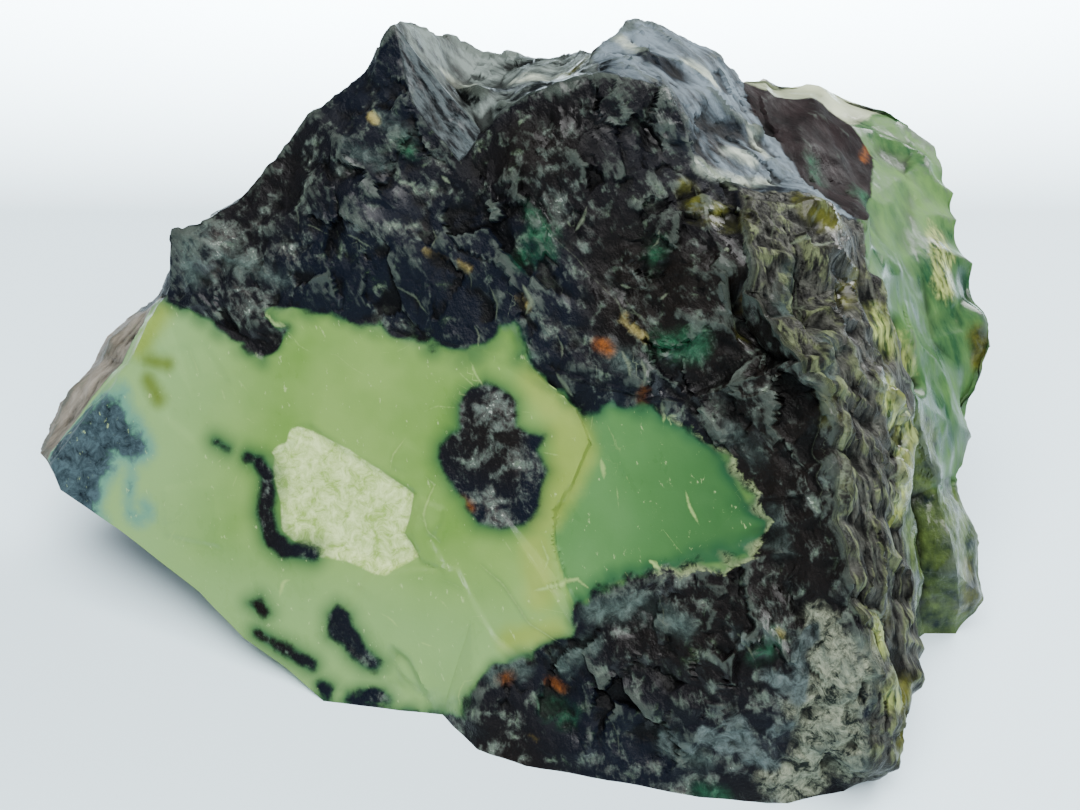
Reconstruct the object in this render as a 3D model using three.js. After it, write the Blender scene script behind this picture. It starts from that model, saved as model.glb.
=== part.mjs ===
// A raw lump of serpentine, broken and not cut, made as one closed stone.
// Millimetres, +Z up. The stone rests on z = 0 with its broad broken face turned to -Y
// and a little to -X. Its shape is a hand-placed shell of corners and flat faces; the
// shell's edges are then halved until they are short, and every point of the finer shell
// is pushed out or in by the small relief of broken rock.

import * as THREE from 'three';

// Driving dimensions, mm.
const EDGE = 3.2;          // longest edge left in the finished shell
const BACK_EDGE = 4.6;     // the same on the plainer back
const BASE_EDGE = 6;       // and on the underside, where there is no relief
const LUMP_SIZE = 17;      // spacing of the broad swellings
const LUMP_HEIGHT = 1.0;
const SCOOP_SIZE = 12;     // spacing of the shell-shaped chips of the rough faces
const SCOOP_DEPTH = 2.2;
const CHIP_SIZE = 5.5;     // the same for the small chips
const CHIP_DEPTH = 1.1;
const STRAND_SIZE = 2.6;   // width of one strand on the fibrous corner
const STRAND_LENGTH = 15;
const STRAND_HEIGHT = 1.1;
const WAVE_HEIGHT = 1.1;   // smooth waves of the glossy side
const PANEL_STEP = 0.8;    // how far the green panel lies behind the flake beside it
const SCAR_STEP = 0.5;     // depth of the pale chip scar
const SEAT_FADE = 3;       // height over which the relief dies out towards the resting face

// The broad front face: a point on it, its outward normal, its level and its uphill line.
const FACE_POINT = new THREE.Vector3(-10, -12, 22);
const FACE_OUT = new THREE.Vector3(-0.25, -0.81, 0.53).normalize();
const FACE_LEVEL = new THREE.Vector3(0, 0, 1).cross(FACE_OUT).normalize();
const FACE_UPHILL = new THREE.Vector3().crossVectors(FACE_OUT, FACE_LEVEL);

// Corners of the shell.
const CORNERS = {
  // the peak, the striated plate beside it and the left crest
  pk: [-11.5, 15, 61.5], pb: [-10, 21.5, 59.5], l1: [-18.5, 13.5, 54.5], l2: [-27.5, 10, 45],
  l3: [-33, 8.5, 40.5], k1: [-36, 8, 40], k2: [-37, 6.5, 37],
  p1: [-8, 12.5, 57.5], p2: [-2, 7, 52.5], p3: [-4.5, 5, 50], p4: [-10, 9.5, 56],
  // the narrow left end face and the overhanging tip
  o1: [-45, 11, 25], o2: [-49, 12.5, 20], o3: [-53.5, 9.5, 16], o4: [-55, 4, 13.5],
  // the foot of the front, round to the front right corner
  f6: [-19.5, -24, 0], f7: [-11, -25.5, 0], f8: [-6.5, -26, 0], f9: [-2.5, -30.5, 0],
  f10: [2.5, -33, 0], f11: [10, -34.5, 0], f12: [20, -37, 0], f13: [29, -38, 0],
  f14: [35, -36.5, 0],
  // the dark ridge along the top of the front
  r1: [1, 7.5, 56], r2: [4.5, 7.5, 58], r3: [7.5, 7, 59], r4: [10.5, 6.5, 59.5],
  r5: [14, 6, 58], r6: [17, 6, 57.5], r7: [19, 4.5, 55.5], r8: [20, 1.5, 52.5],
  r9: [24.5, 1.5, 49.5], r10: [31, 2, 48], r11: [34, 1.5, 45.5], r12: [38.5, 3, 43.5],
  // the dark upper part of the front
  a1: [-19.5, 6.5, 47], a2: [-29.5, 4.5, 39], a3: [-21, 2.5, 40.5], a4: [-9.5, 0, 41.5],
  a8: [1, -0.5, 47], a9: [7.5, 1, 52], a10: [15, -2.5, 49], a11: [10, -7, 40.5],
  a12: [19, -9, 42.5],
  // the dark apron at the foot of the front
  w10: [10, -30.5, 5.5], w14: [20, -30, 13.5], w15: [28, -26.5, 22.5], w16: [27.5, -35.5, 8],
  // the front right corner and its fibrous flank
  c1: [24.5, -7, 47.5], e0: [24.5, -11, 44], c2: [29, -17.5, 39.5], c3: [32, -20, 36.5],
  c4: [32.5, -25, 30], c5: [33, -30, 24], c6: [34.5, -33.5, 18], c7: [36, -36, 12.5],
  c8: [36, -38, 5.5], h1: [26.5, -12, 38], e1: [29.5, -5.5, 46], e2: [34.5, -4.5, 45],
  e3: [30.5, -10.5, 42.5], e4: [34.5, -11, 39.5], e5: [35.5, -16, 34.5], e6: [36.5, -20.5, 28],
  e7: [37.5, -25, 21], e8: [38.5, -28.5, 15], d1: [38.5, -1, 40], d2: [42, -2.5, 34.5],
  d3: [44, -6, 28], d4: [41, -13.5, 25.5], d5: [40.5, -18.5, 20.5], d6: [42, -22, 15.5],
  d7: [43, -23, 13], d8: [43, -25.5, 10], sp1: [41.5, -34.5, 4.5], sp2: [41, -30, 9],
  // the glossy right side, the groove in it and the lobe at its foot
  y1: [47, 21.5, 40.5], y2: [46.5, 10.5, 36], y3: [48.5, 3.5, 29], y4: [49, -2.5, 22],
  y5: [47.5, -8.5, 17.5], y6: [49, -14, 10], gr1: [44.5, -9, 16], gr2: [45.5, -13, 9],
  gr3: [45, -16.5, 0], gf1: [40, -31.5, 0], lf1: [48, -13.5, 0], lf2: [51.5, -13.5, 0],
  t1: [52.5, 29, 41], t2: [53, 26.5, 40], t3: [52.5, 18, 35], t4: [54.5, 13, 30.5],
  t5: [55, 8.5, 27], t6: [53.5, 4.5, 22], t7: [53.5, 0, 18], t8: [51.5, -3.5, 15],
  t9: [53.5, -8, 9], t10: [53.5, -12, 4.5],
  // the top: the dip behind the ridge, the streaked slope, the brown step and the back block
  s1: [-6, 27.5, 55], s2: [-2.5, 29, 51.5], s3: [1.5, 30.5, 50], s4: [6.5, 29.5, 50.5],
  ho1: [-5.5, 18, 53], ho2: [-0.5, 21, 52], u1: [9.5, 16, 57], u2: [14, 22.5, 57.5],
  u3: [18, 24, 57], u4: [23, 25, 55], u5: [27.5, 24.5, 51.5], u6: [32, 28.5, 49],
  u7: [36.5, 32.5, 47.5], u8: [40, 32.5, 46.5], u9: [44, 31.5, 44], u10: [49, 31, 42],
  v1: [15, 13, 58], v2: [22, 12.5, 54], v3: [27, 8.5, 50], va1: [27.5, 21, 51],
  va2: [29.5, 17, 48], va3: [32.5, 9, 46], va4: [36, 4.5, 44.5], br1: [31.5, 24, 49.5],
  br2: [36.5, 26, 48.5], br3: [40.5, 24.5, 46], br4: [42.5, 21, 43.5], br5: [40.5, 11, 42.5],
  // the back and the left underside
  x1: [53.5, 13.5, 12], x2: [50, 26.5, 22], bk2: [35, 38, 24], bk3: [12, 37.5, 28],
  bk4: [-10, 32.5, 33], bk5: [-28, 21.5, 25], bt1: [-20, 22.5, 44], bt2: [-39, 13.5, 30],
  bm1: [27, 34.5, 40], bm2: [14, 32.5, 44.5], bm3: [-2, 34, 42],
  lb1: [-41, 15.5, 11], ub1: [-46, 2.5, 8],
  // the resting face
  rb1: [52, 1.5, 0], rb2: [50, 17.5, 0], rb3: [44, 28.5, 0], gb2: [28, 33.5, 0],
  gb3: [6, 32.5, 0], gb4: [-12, 25.5, 0], gb5: [-24, 17.5, 0], gl2: [-32, 7.5, 0],
  gl1: [-28, -4.5, 0], b1: [-8, -0.5, 0], b2: [24, -0.5, 0],
};

// More corners, on the broad front face: mm along its level line, uphill and outwards.
const FACE_CORNERS = {
  // left edge of the green window, down to the tip
  l4: [-32, 14, -1], i1: [-33, 11, -0.5], i2: [-34.5, 6, -0.5], i3: [-37, 2, -0.5],
  i4: [-40.5, -3, -0.5], tip: [-42.5, -7, 0],
  // lower edge, where the stone overhangs
  f1: [-41, -9.5, 0], f2: [-33, -12.5, 0], f3: [-22, -17.5, 0], f4: [-16, -21.5, 0],
  f5: [-11, -23.5, 0],
  // the flat of the window
  wa: [-26, 3.5, 0], wb: [-13, 3.5, 0], wc: [-1, 3, 0], wd: [-31.5, -5.5, 0],
  we: [-18.5, -8.5, 0], wf: [-5.5, -11, 0], wm: [8.5, 0, 0], w7: [9.5, -14, 0],
  // the edge of the raised flake, and the green panel right of it
  fb: [17, 9.5, 0], fc: [18.5, 7, 0], fd: [16.5, -1, 0], fe: [18, -8, 0], wn: [24, 3.5, 0.5],
  // upper and right edges, where the black begins
  a5: [-17.5, 10.5, 0.5], a6: [-5, 15.5, 0.5], a7: [6, 14, 0.5], a13: [19.5, 12.5, 1],
  a14: [28.5, 13, 1], a15: [36, 4, 1.5], w12: [31.5, -3, 1.5], w11: [21.5, -13.5, 1],
};

// Faces of the shell: each line is a fan from its first corner, anticlockwise from outside.
const FANS = [
  // left end face
  'l4 o1 i1', 'i1 o1 o2 i2', 'i2 o2 o3 i3', 'i3 o3 o4 i4', 'i4 o4 tip',
  // green window
  'wa l4 i1 i2 i3 wd we wb a5 l4', 'wd i3 i4 tip f1 f2 we', 'we f2 f3 f4 wf wb',
  'wf f4 f5 f6 f7 w7 wc wb', 'wb wc a6 a5', 'wc w7 wm a7 a6', 'wm w7 w11 fe fd fc fb a7',
  'a7 fb a13', 'wn fb fc fd fe w11 w12 a15 a14 a13 fb',
  // dark apron
  'w7 f7 f8 f9 w10', 'w10 f9 f10 f11 f12 w16 w14 w11 w7', 'w11 w14 w12',
  'w16 f12 f13 f14 c8 c7 c6 c5 w15 w14', 'w14 w15 w12', 'w12 w15 a15', 'w15 c5 c4 a15',
  // dark upper front
  'a15 c4 c3 a14', 'a14 c3 c2 h1', 'a14 h1 a12', 'h1 c2 e0', 'h1 e0 c1 a12',
  'a13 a14 a12 a11', 'a7 a13 a11', 'a12 c1 a10', 'a7 a11 a8 a4', 'a11 a12 a10 a9 a8',
  'a9 a10 r8 r7 r6 r5 r4 r3 r2 r1 a8', 'a10 c1 r9 r8', 'a8 r1 p2 p3 a4',
  'pk p4 p3 p2 p1', 'a1 pk l1 l2 l3 a2 a3 a4 p3 p4 pk', 'a2 l3 k1 k2 l4 a5 a3',
  'a3 a5 a6 a4', 'a4 a6 a7',
  // fibrous flank
  'c1 e1 r10 r9', 'e1 e2 r11 r10', 'e2 d1 r12 r11', 'c1 e0 e3 e1', 'e1 e3 e2', 'e0 c2 e3',
  'e3 c2 c3 e4', 'e3 e4 d1 e2', 'e4 c3 e5', 'e4 e5 d2 d1', 'e5 d3 d2', 'c3 c4 e6 e5',
  'e5 e6 d4 d3', 'c4 c5 e7 e6', 'e6 e7 d5 d4', 'c5 c6 e8 e7', 'e7 e8 d6 d5', 'c6 c7 e8',
  'c7 sp1 sp2 e8', 'c7 c8 sp1', 'e8 sp2 d8 d7', 'e8 d7 d6', 'gf1 gr3 d8 sp2 sp1',
  'f14 gf1 sp1 c8',
  // groove and lobe
  'd7 d8 gr3', 'd6 d7 gr3 gr2', 'd5 d6 gr2 gr1', 'd4 d5 gr1', 'd3 d4 gr1 y5 y4',
  'gr2 gr3 lf1', 'gr2 lf1 lf2 y6', 'gr1 gr2 y6 y5', 'y5 y6 t9 t8', 'y6 lf2 t10 t9',
  // glossy right side
  'y4 y5 t8 t7', 'd2 d3 y4 y3', 'y3 y4 t7 t6 t5', 'd1 d2 y3 y2', 'y2 y3 t5 t4 t3',
  'y1 y2 t3 t2', 'y1 t2 t1', 'y1 t1 u10', 'br5 r12 d1 y2 y1 br4',
  // brown step and back block
  'br3 br4 y1 u10 u9', 'br2 br3 u9 u8 u7', 'br1 br2 u7 u6', 'u5 br1 u6', 'va1 va2 br1 u5',
  'va2 va3 br2 br1', 'va3 va4 br5 br4 br3 br2', 'va4 r12 br5',
  // streaked slope
  'r11 r12 va4', 'r10 r11 va4 va3', 'r9 r10 va3 v3', 'v3 va3 va2', 'v2 v3 va2 va1 u5 u4',
  'r8 r9 v3 v2', 'r7 r8 v2', 'r6 r7 v2 v1', 'r5 r6 v1', 'r4 r5 v1 u1', 'u1 v1 u2',
  'v1 v2 u4 u3 u2',
  // dip behind the ridge
  'r3 r4 u1 s4', 'r2 r3 s4 s3', 'ho2 r1 r2 s3 s2', 'ho1 p2 r1 ho2', 'ho1 ho2 s2 s1',
  'p1 p2 ho1', 'pk p1 ho1 s1 pb',
  // right side below the glossy part
  'lf2 rb1 t9 t10', 't9 rb1 t8', 't8 rb1 x1 t7', 'rb1 rb2 x1', 't7 x1 t5 t6', 't5 x1 x2 t3 t4',
  'x1 rb2 rb3 x2', 't3 x2 t1 t2',
  // back
  'x2 rb3 gb2 bk2', 't1 x2 bk2 u10', 'u10 bk2 u7 u8 u9', 'bk2 gb2 gb3 bk3', 'u7 bk2 bm1 u5 u6',
  'bk2 bk3 bm1', 'bk3 bm2 bm1', 'bm1 bm2 u3 u4 u5', 'bm2 s4 u1 u2 u3', 'bk3 bk4 bm3',
  'bk3 bm3 bm2', 'bm2 bm3 s3 s4', 'bk4 s1 s2 s3 bm3', 'bk3 gb3 gb4 bk4', 'bk4 gb4 gb5 bk5',
  's1 bk4 bt1 pb', 'bk4 bk5 bt1', 'pb bt1 l1 pk', 'l1 bt1 l2', 'bt1 bk5 bt2 l3 l2',
  'l3 bt2 k1', 'k1 bt2 k2', 'k2 bt2 l4', 'l4 bt2 o1', 'bt2 bk5 lb1 o2 o1', 'bk5 gb5 lb1',
  // underside of the overhanging tip
  'lb1 o3 o2', 'lb1 ub1 o4 o3', 'o4 ub1 f1 tip', 'ub1 f2 f1', 'ub1 gl1 f3 f2',
  'gl1 f6 f5 f4 f3', 'lb1 gb5 gl2 gl1 ub1',
  // resting face
  'b1 gl1 gl2 gb5 gb4 gb3 b2 f11 f10 f9 f8 f7 f6 gl1',
  'b2 gb3 gb2 rb3 rb2 rb1 lf2 lf1 gr3 gf1 f14 f13 f12 f11',
];

// Outlines on the front face, in mm along its level line and its uphill line.
const WINDOW = [
  [-32, 14], [-27, 13], [-22.5, 11], [-18.5, 9.5], [-17, 11], [-16.5, 13], [-19.5, 15],
  [-15, 15.5], [-10, 15.5], [-5.5, 15], [-2, 14], [1.5, 13.5], [5, 13], [6.5, 15.5],
  [9, 17.5], [10.5, 14.5], [13.5, 13], [15.5, 11.5], [18, 10], [21, 11.5], [25, 11.5],
  [29, 10.5], [33, 8], [35, 6], [36, 3.5], [40, 2], [39.5, 0], [34.5, -2], [30.5, -4],
  [26.5, -6], [24, -7], [20.5, -10.5], [20.5, -13.5], [18, -15], [15.5, -17], [13, -18.5],
  [11.5, -20.5], [10, -23.5], [7, -25.5], [-12, -27], [-46, -12], [-46, 0], [-38, 12],
];
const PANEL = [
  [10.5, 14.5], [13, 12.5], [17, 10], [19, 7], [18, 2.5], [16.5, -1], [17, -4.5], [18.5, -8],
  [20.5, -10.5], [24, -7], [30.5, -4], [39.5, 0], [40, 2], [36, 3.5], [33, 8], [25, 13],
];
const SCAR = [
  [-16, -1], [-13.5, 1], [-13.5, 2.5], [-12, 3], [-7.5, 1], [-1.5, -1], [1, -2], [0.5, -6.5],
  [2.5, -8.5], [0, -10.5], [-11, -9.5], [-13.5, -5.5],
];

// Hollows and knobs: two ends of a line, its radius and how far it is pushed (in is minus).
const MARKS = [
  { from: [30.5, -8, 44.5], to: [31, -13, 41], radius: 2.6, push: -2.4 },
  { from: [25, -10, 42], to: [28.5, -17, 37.5], radius: 3.4, push: -2.2 },
  { from: [38, -4.5, 39], to: [40, -8, 34], radius: 2.8, push: -1.4 },
  { from: [43, -2, 34], to: [45.5, -3.5, 28], radius: 2.4, push: -1.4 },
  { from: [38.5, -29, 15.5], to: [39.5, -30.5, 11], radius: 3, push: -1.8 },
  { from: [31.5, 0, 46.5], to: [33, 0.5, 46], radius: 2.2, push: 1.2 },
  { from: [54, 9, 28], to: [54.5, 8, 25.5], radius: 3, push: 1.2 },
  { from: [53, 3, 20], to: [53.5, 1, 17], radius: 2.6, push: -1 },
  { from: [-36, 8, 39], to: [-35, 7, 39], radius: 3, push: 0.8 },
  { from: [0, 12, 56], to: [-2, 8, 53], radius: 2, push: -0.8 },
];

const clamp01 = (x) => Math.min(1, Math.max(0, x));
const smooth = (x) => clamp01(x) ** 2 * (3 - 2 * clamp01(x));

// A number from 0 to 1 that looks random and is always the same for the same cell.
function hash(i, j, k, seed) {
  let h = Math.imul(i, 0x9e3779b1) ^ Math.imul(j, 0x85ebca77);
  h ^= Math.imul(k, 0xc2b2ae3d) ^ Math.imul(seed, 0x27d4eb2f);
  h = Math.imul(h ^ (h >>> 15), 0x2c1b3c6d);
  h = Math.imul(h ^ (h >>> 12), 0x297a2d39);
  return ((h ^ (h >>> 15)) >>> 0) / 4294967296;
}

// Smooth random field from -1 to 1 over cells of unit size.
function field(x, y, z, seed) {
  const cell = [x, y, z].map(Math.floor);
  const [u, v, w] = [x - cell[0], y - cell[1], z - cell[2]].map(smooth);
  let sum = 0;
  for (let n = 0; n < 8; n += 1) {
    const [i, j, k] = [n & 1, (n >> 1) & 1, n >> 2];
    const weight = (i ? u : 1 - u) * (j ? v : 1 - v) * (k ? w : 1 - w);
    sum += weight * hash(cell[0] + i, cell[1] + j, cell[2] + k, seed);
  }
  return 2 * sum - 1;
}

// Bowls that meet in sharp rims: squared distance to the nearest of the scattered centres.
function bowls(x, y, z, seed) {
  const cell = [x, y, z].map(Math.floor);
  let nearest = 9;
  for (let n = 0; n < 27; n += 1) {
    const i = cell[0] + (n % 3) - 1;
    const j = cell[1] + (Math.floor(n / 3) % 3) - 1;
    const k = cell[2] + Math.floor(n / 9) - 1;
    const dx = i + hash(i, j, k, seed) - x;
    const dy = j + hash(i, j, k, seed + 1) - y;
    const dz = k + hash(i, j, k, seed + 2) - z;
    nearest = Math.min(nearest, dx * dx + dy * dy + dz * dz);
  }
  return Math.min(nearest, 1);
}

// Distance inside an outline (minus outside it).
function depthInside(outline, s, t) {
  let nearest = Infinity;
  let within = false;
  outline.forEach(([s1, t1], n) => {
    const [s0, t0] = outline[(n + outline.length - 1) % outline.length];
    const [ds, dt] = [s1 - s0, t1 - t0];
    const k = clamp01(((s - s0) * ds + (t - t0) * dt) / (ds * ds + dt * dt));
    nearest = Math.min(nearest, Math.hypot(s - s0 - k * ds, t - t0 - k * dt));
    if ((t0 > t) !== (t1 > t) && s < s0 + ((t - t0) / dt) * ds) within = !within;
  });
  return within ? nearest : -nearest;
}

// 1 on the line from one point to another, 0 a radius away from it.
function nearLine(p, from, to, radius) {
  const line = new THREE.Line3(new THREE.Vector3(...from), new THREE.Vector3(...to));
  const nearest = line.closestPointToPoint(p, true, new THREE.Vector3());
  return smooth(1 - nearest.distanceTo(p) / radius);
}

// Height of the relief at a point of the shell, mm outwards.
function relief(p) {
  const offset = p.clone().sub(FACE_POINT);
  const level = offset.dot(FACE_LEVEL);
  const uphill = offset.dot(FACE_UPHILL);
  const onFace = smooth(1.5 - Math.abs(offset.dot(FACE_OUT)) / 4);
  const window = onFace * smooth(depthInside(WINDOW, level, uphill) / 1.5 + 0.5);
  const flank = nearLine(p, [30, -10, 44], [38, -34, 6], 16);
  const glossy = nearLine(p, [53, 26, 44], [52, 0, 20], 20) * (1 - flank);
  const slope = nearLine(p, [16, 12, 58], [30, 14, 50], 13);
  const rough = (1 - 0.92 * window) * (1 - 0.75 * glossy) * (1 - 0.6 * slope);

  let height = LUMP_HEIGHT * (0.25 + 0.75 * rough)
    * field(p.x / LUMP_SIZE, p.y / LUMP_SIZE, p.z / LUMP_SIZE, 11);
  height += SCOOP_DEPTH * rough
    * (bowls(p.x / SCOOP_SIZE, p.y / SCOOP_SIZE, p.z / SCOOP_SIZE, 21) - 0.25);
  height += CHIP_DEPTH * rough
    * (bowls(p.x / CHIP_SIZE, p.y / CHIP_SIZE, p.z / CHIP_SIZE, 31) - 0.25);

  // strands run down the flank, leaning with its edge
  const along = (p.z - 0.35 * p.y) / STRAND_LENGTH;
  const strand = field((p.x + 0.1 * p.z) / STRAND_SIZE, (p.y + 0.6 * p.z) / STRAND_SIZE, along, 41);
  height += STRAND_HEIGHT * flank * (1 - 2 * Math.abs(strand));

  const wave = field(p.x / 9, (p.y + 0.4 * p.z) / 5, p.z / 13, 51);
  height += WAVE_HEIGHT * Math.max(glossy, 0.7 * slope) * (1 - 2 * Math.abs(wave));

  height -= PANEL_STEP * onFace * smooth(depthInside(PANEL, level, uphill) / 0.6 + 0.5);
  height -= SCAR_STEP * onFace * smooth(depthInside(SCAR, level, uphill) / 0.6 + 0.5);
  for (const mark of MARKS) height += mark.push * nearLine(p, mark.from, mark.to, mark.radius);
  return height;
}

// Moves a point of the shell by its relief; the resting face stays flat on z = 0.
function place(p) {
  const out = new THREE.Vector3((p.x - 4) / 35 ** 2, (p.y - 14) / 38 ** 2, (p.z - 6) / 32 ** 2);
  const lift = smooth(p.z / SEAT_FADE);
  out.normalize().multiplyScalar(relief(p) * (0.35 + 0.65 * lift));
  const z = p.z === 0 ? 0 : Math.max(0, p.z + out.z * lift);
  return new THREE.Vector3(p.x + out.x, p.y + out.y, z);
}

// Halves every edge that is too long, over and over; neighbours share the new points.
function refine(points, faces) {
  let todo = faces;
  for (;;) {
    const middles = new Map();
    const middle = (a, b) => {
      const key = a < b ? `${a} ${b}` : `${b} ${a}`;
      if (!middles.has(key)) {
        const half = points[a].clone().add(points[b]).multiplyScalar(0.5);
        const behind = half.y > 24 || half.y + 0.6 * half.x < -20;
        const longest = half.z < 0.01 ? BASE_EDGE : behind ? BACK_EDGE : EDGE;
        const long = points[a].distanceTo(points[b]) > longest;
        middles.set(key, long ? points.push(half) - 1 : -1);
      }
      return middles.get(key);
    };
    const next = todo.flatMap((face) => split(points, face, middle));
    if (next.length === todo.length) return next;
    todo = next;
  }
}

// The triangles that take the place of one triangle once its long edges are halved.
function split(points, [a, b, c], middle) {
  const [ab, bc, ca] = [middle(a, b), middle(b, c), middle(c, a)];
  const cuts = [ab, bc, ca].filter((m) => m >= 0).length;
  if (cuts === 0) return [[a, b, c]];
  if (cuts === 3) return [[a, ab, ca], [ab, b, bc], [ca, bc, c], [ab, bc, ca]];
  // turn the triangle so that its first edge is cut, and its third one is not
  if (ab < 0 || (cuts === 2 && ca >= 0)) return split(points, [b, c, a], middle);
  if (cuts === 1) return [[a, ab, c], [ab, b, c]];
  const viaC = points[ab].distanceTo(points[c]) < points[a].distanceTo(points[bc]);
  return viaC
    ? [[ab, b, bc], [a, ab, c], [ab, bc, c]]
    : [[ab, b, bc], [a, ab, bc], [a, bc, c]];
}

const names = [...Object.keys(CORNERS), ...Object.keys(FACE_CORNERS)];
const shell = Object.values(CORNERS).map((xyz) => new THREE.Vector3(...xyz));
for (const [level, uphill, out] of Object.values(FACE_CORNERS)) {
  const corner = FACE_POINT.clone().addScaledVector(FACE_LEVEL, level);
  shell.push(corner.addScaledVector(FACE_UPHILL, uphill).addScaledVector(FACE_OUT, out));
}
const fans = FANS.flatMap((line) => {
  const [hub, ...rim] = line.split(' ').map((name) => names.indexOf(name));
  return rim.slice(1).map((corner, n) => [hub, rim[n], corner]);
});
const faces = refine(shell, fans);

const geometry = new THREE.BufferGeometry();
geometry.setFromPoints(shell.map(place));
geometry.setIndex(faces.flat());

const material = new THREE.MeshStandardMaterial({ color: 0x4c5a40, roughness: 0.6, metalness: 0 });
const stone = new THREE.Mesh(geometry, material);
stone.name = 'stone';

const object = new THREE.Group();
object.name = 'raw_serpentine';
object.add(stone);
export default object;
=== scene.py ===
# %% [markdown]
# # A raw lump of serpentine
# Serpentine is a soft, waxy green rock with black magnetite-rich parts. This lump was broken,
# not cut, so nearly everything that the eye reads is a broken surface: one broad flat face, a
# blocky black rind round it, a fibrous flank and a glossy green side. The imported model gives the
# stone's size and place; this lesson dresses it with a much finer skin and one layered material.

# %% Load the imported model
import bpy
import numpy as np
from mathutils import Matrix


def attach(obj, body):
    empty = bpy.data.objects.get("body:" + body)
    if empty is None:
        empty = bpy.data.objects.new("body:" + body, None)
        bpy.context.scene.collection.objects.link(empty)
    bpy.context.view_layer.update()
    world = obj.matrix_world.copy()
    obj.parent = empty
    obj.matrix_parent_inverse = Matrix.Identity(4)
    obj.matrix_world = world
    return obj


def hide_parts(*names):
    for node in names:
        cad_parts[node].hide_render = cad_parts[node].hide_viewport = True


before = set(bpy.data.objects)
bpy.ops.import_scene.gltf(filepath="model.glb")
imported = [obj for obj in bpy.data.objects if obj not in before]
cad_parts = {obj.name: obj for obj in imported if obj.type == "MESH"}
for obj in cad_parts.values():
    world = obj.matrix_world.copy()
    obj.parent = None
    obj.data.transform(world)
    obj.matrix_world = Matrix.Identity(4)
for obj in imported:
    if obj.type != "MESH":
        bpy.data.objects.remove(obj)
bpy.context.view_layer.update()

# %% [markdown]
# ## The shell
# A broken stone could be sculpted or scattered with noise, but then its outline is chance. Here
# it is a shell: named corners in millimetres and flat faces between them, the same
# shell that the solid has. Corners on the broad front face are given in that face's own
# directions, so that they lie exactly in its plane, or as far off it as their third number says.

# %% Corners of the shell, in millimetres
FACE_POINT = np.array([-10.0, -12.0, 22.0])
FACE_OUT = np.array([-0.25, -0.81, 0.53]) / np.linalg.norm([-0.25, -0.81, 0.53])
FACE_LEVEL = np.cross([0, 0, 1], FACE_OUT)
FACE_LEVEL /= np.linalg.norm(FACE_LEVEL)
FACE_UPHILL = np.cross(FACE_OUT, FACE_LEVEL)

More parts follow.
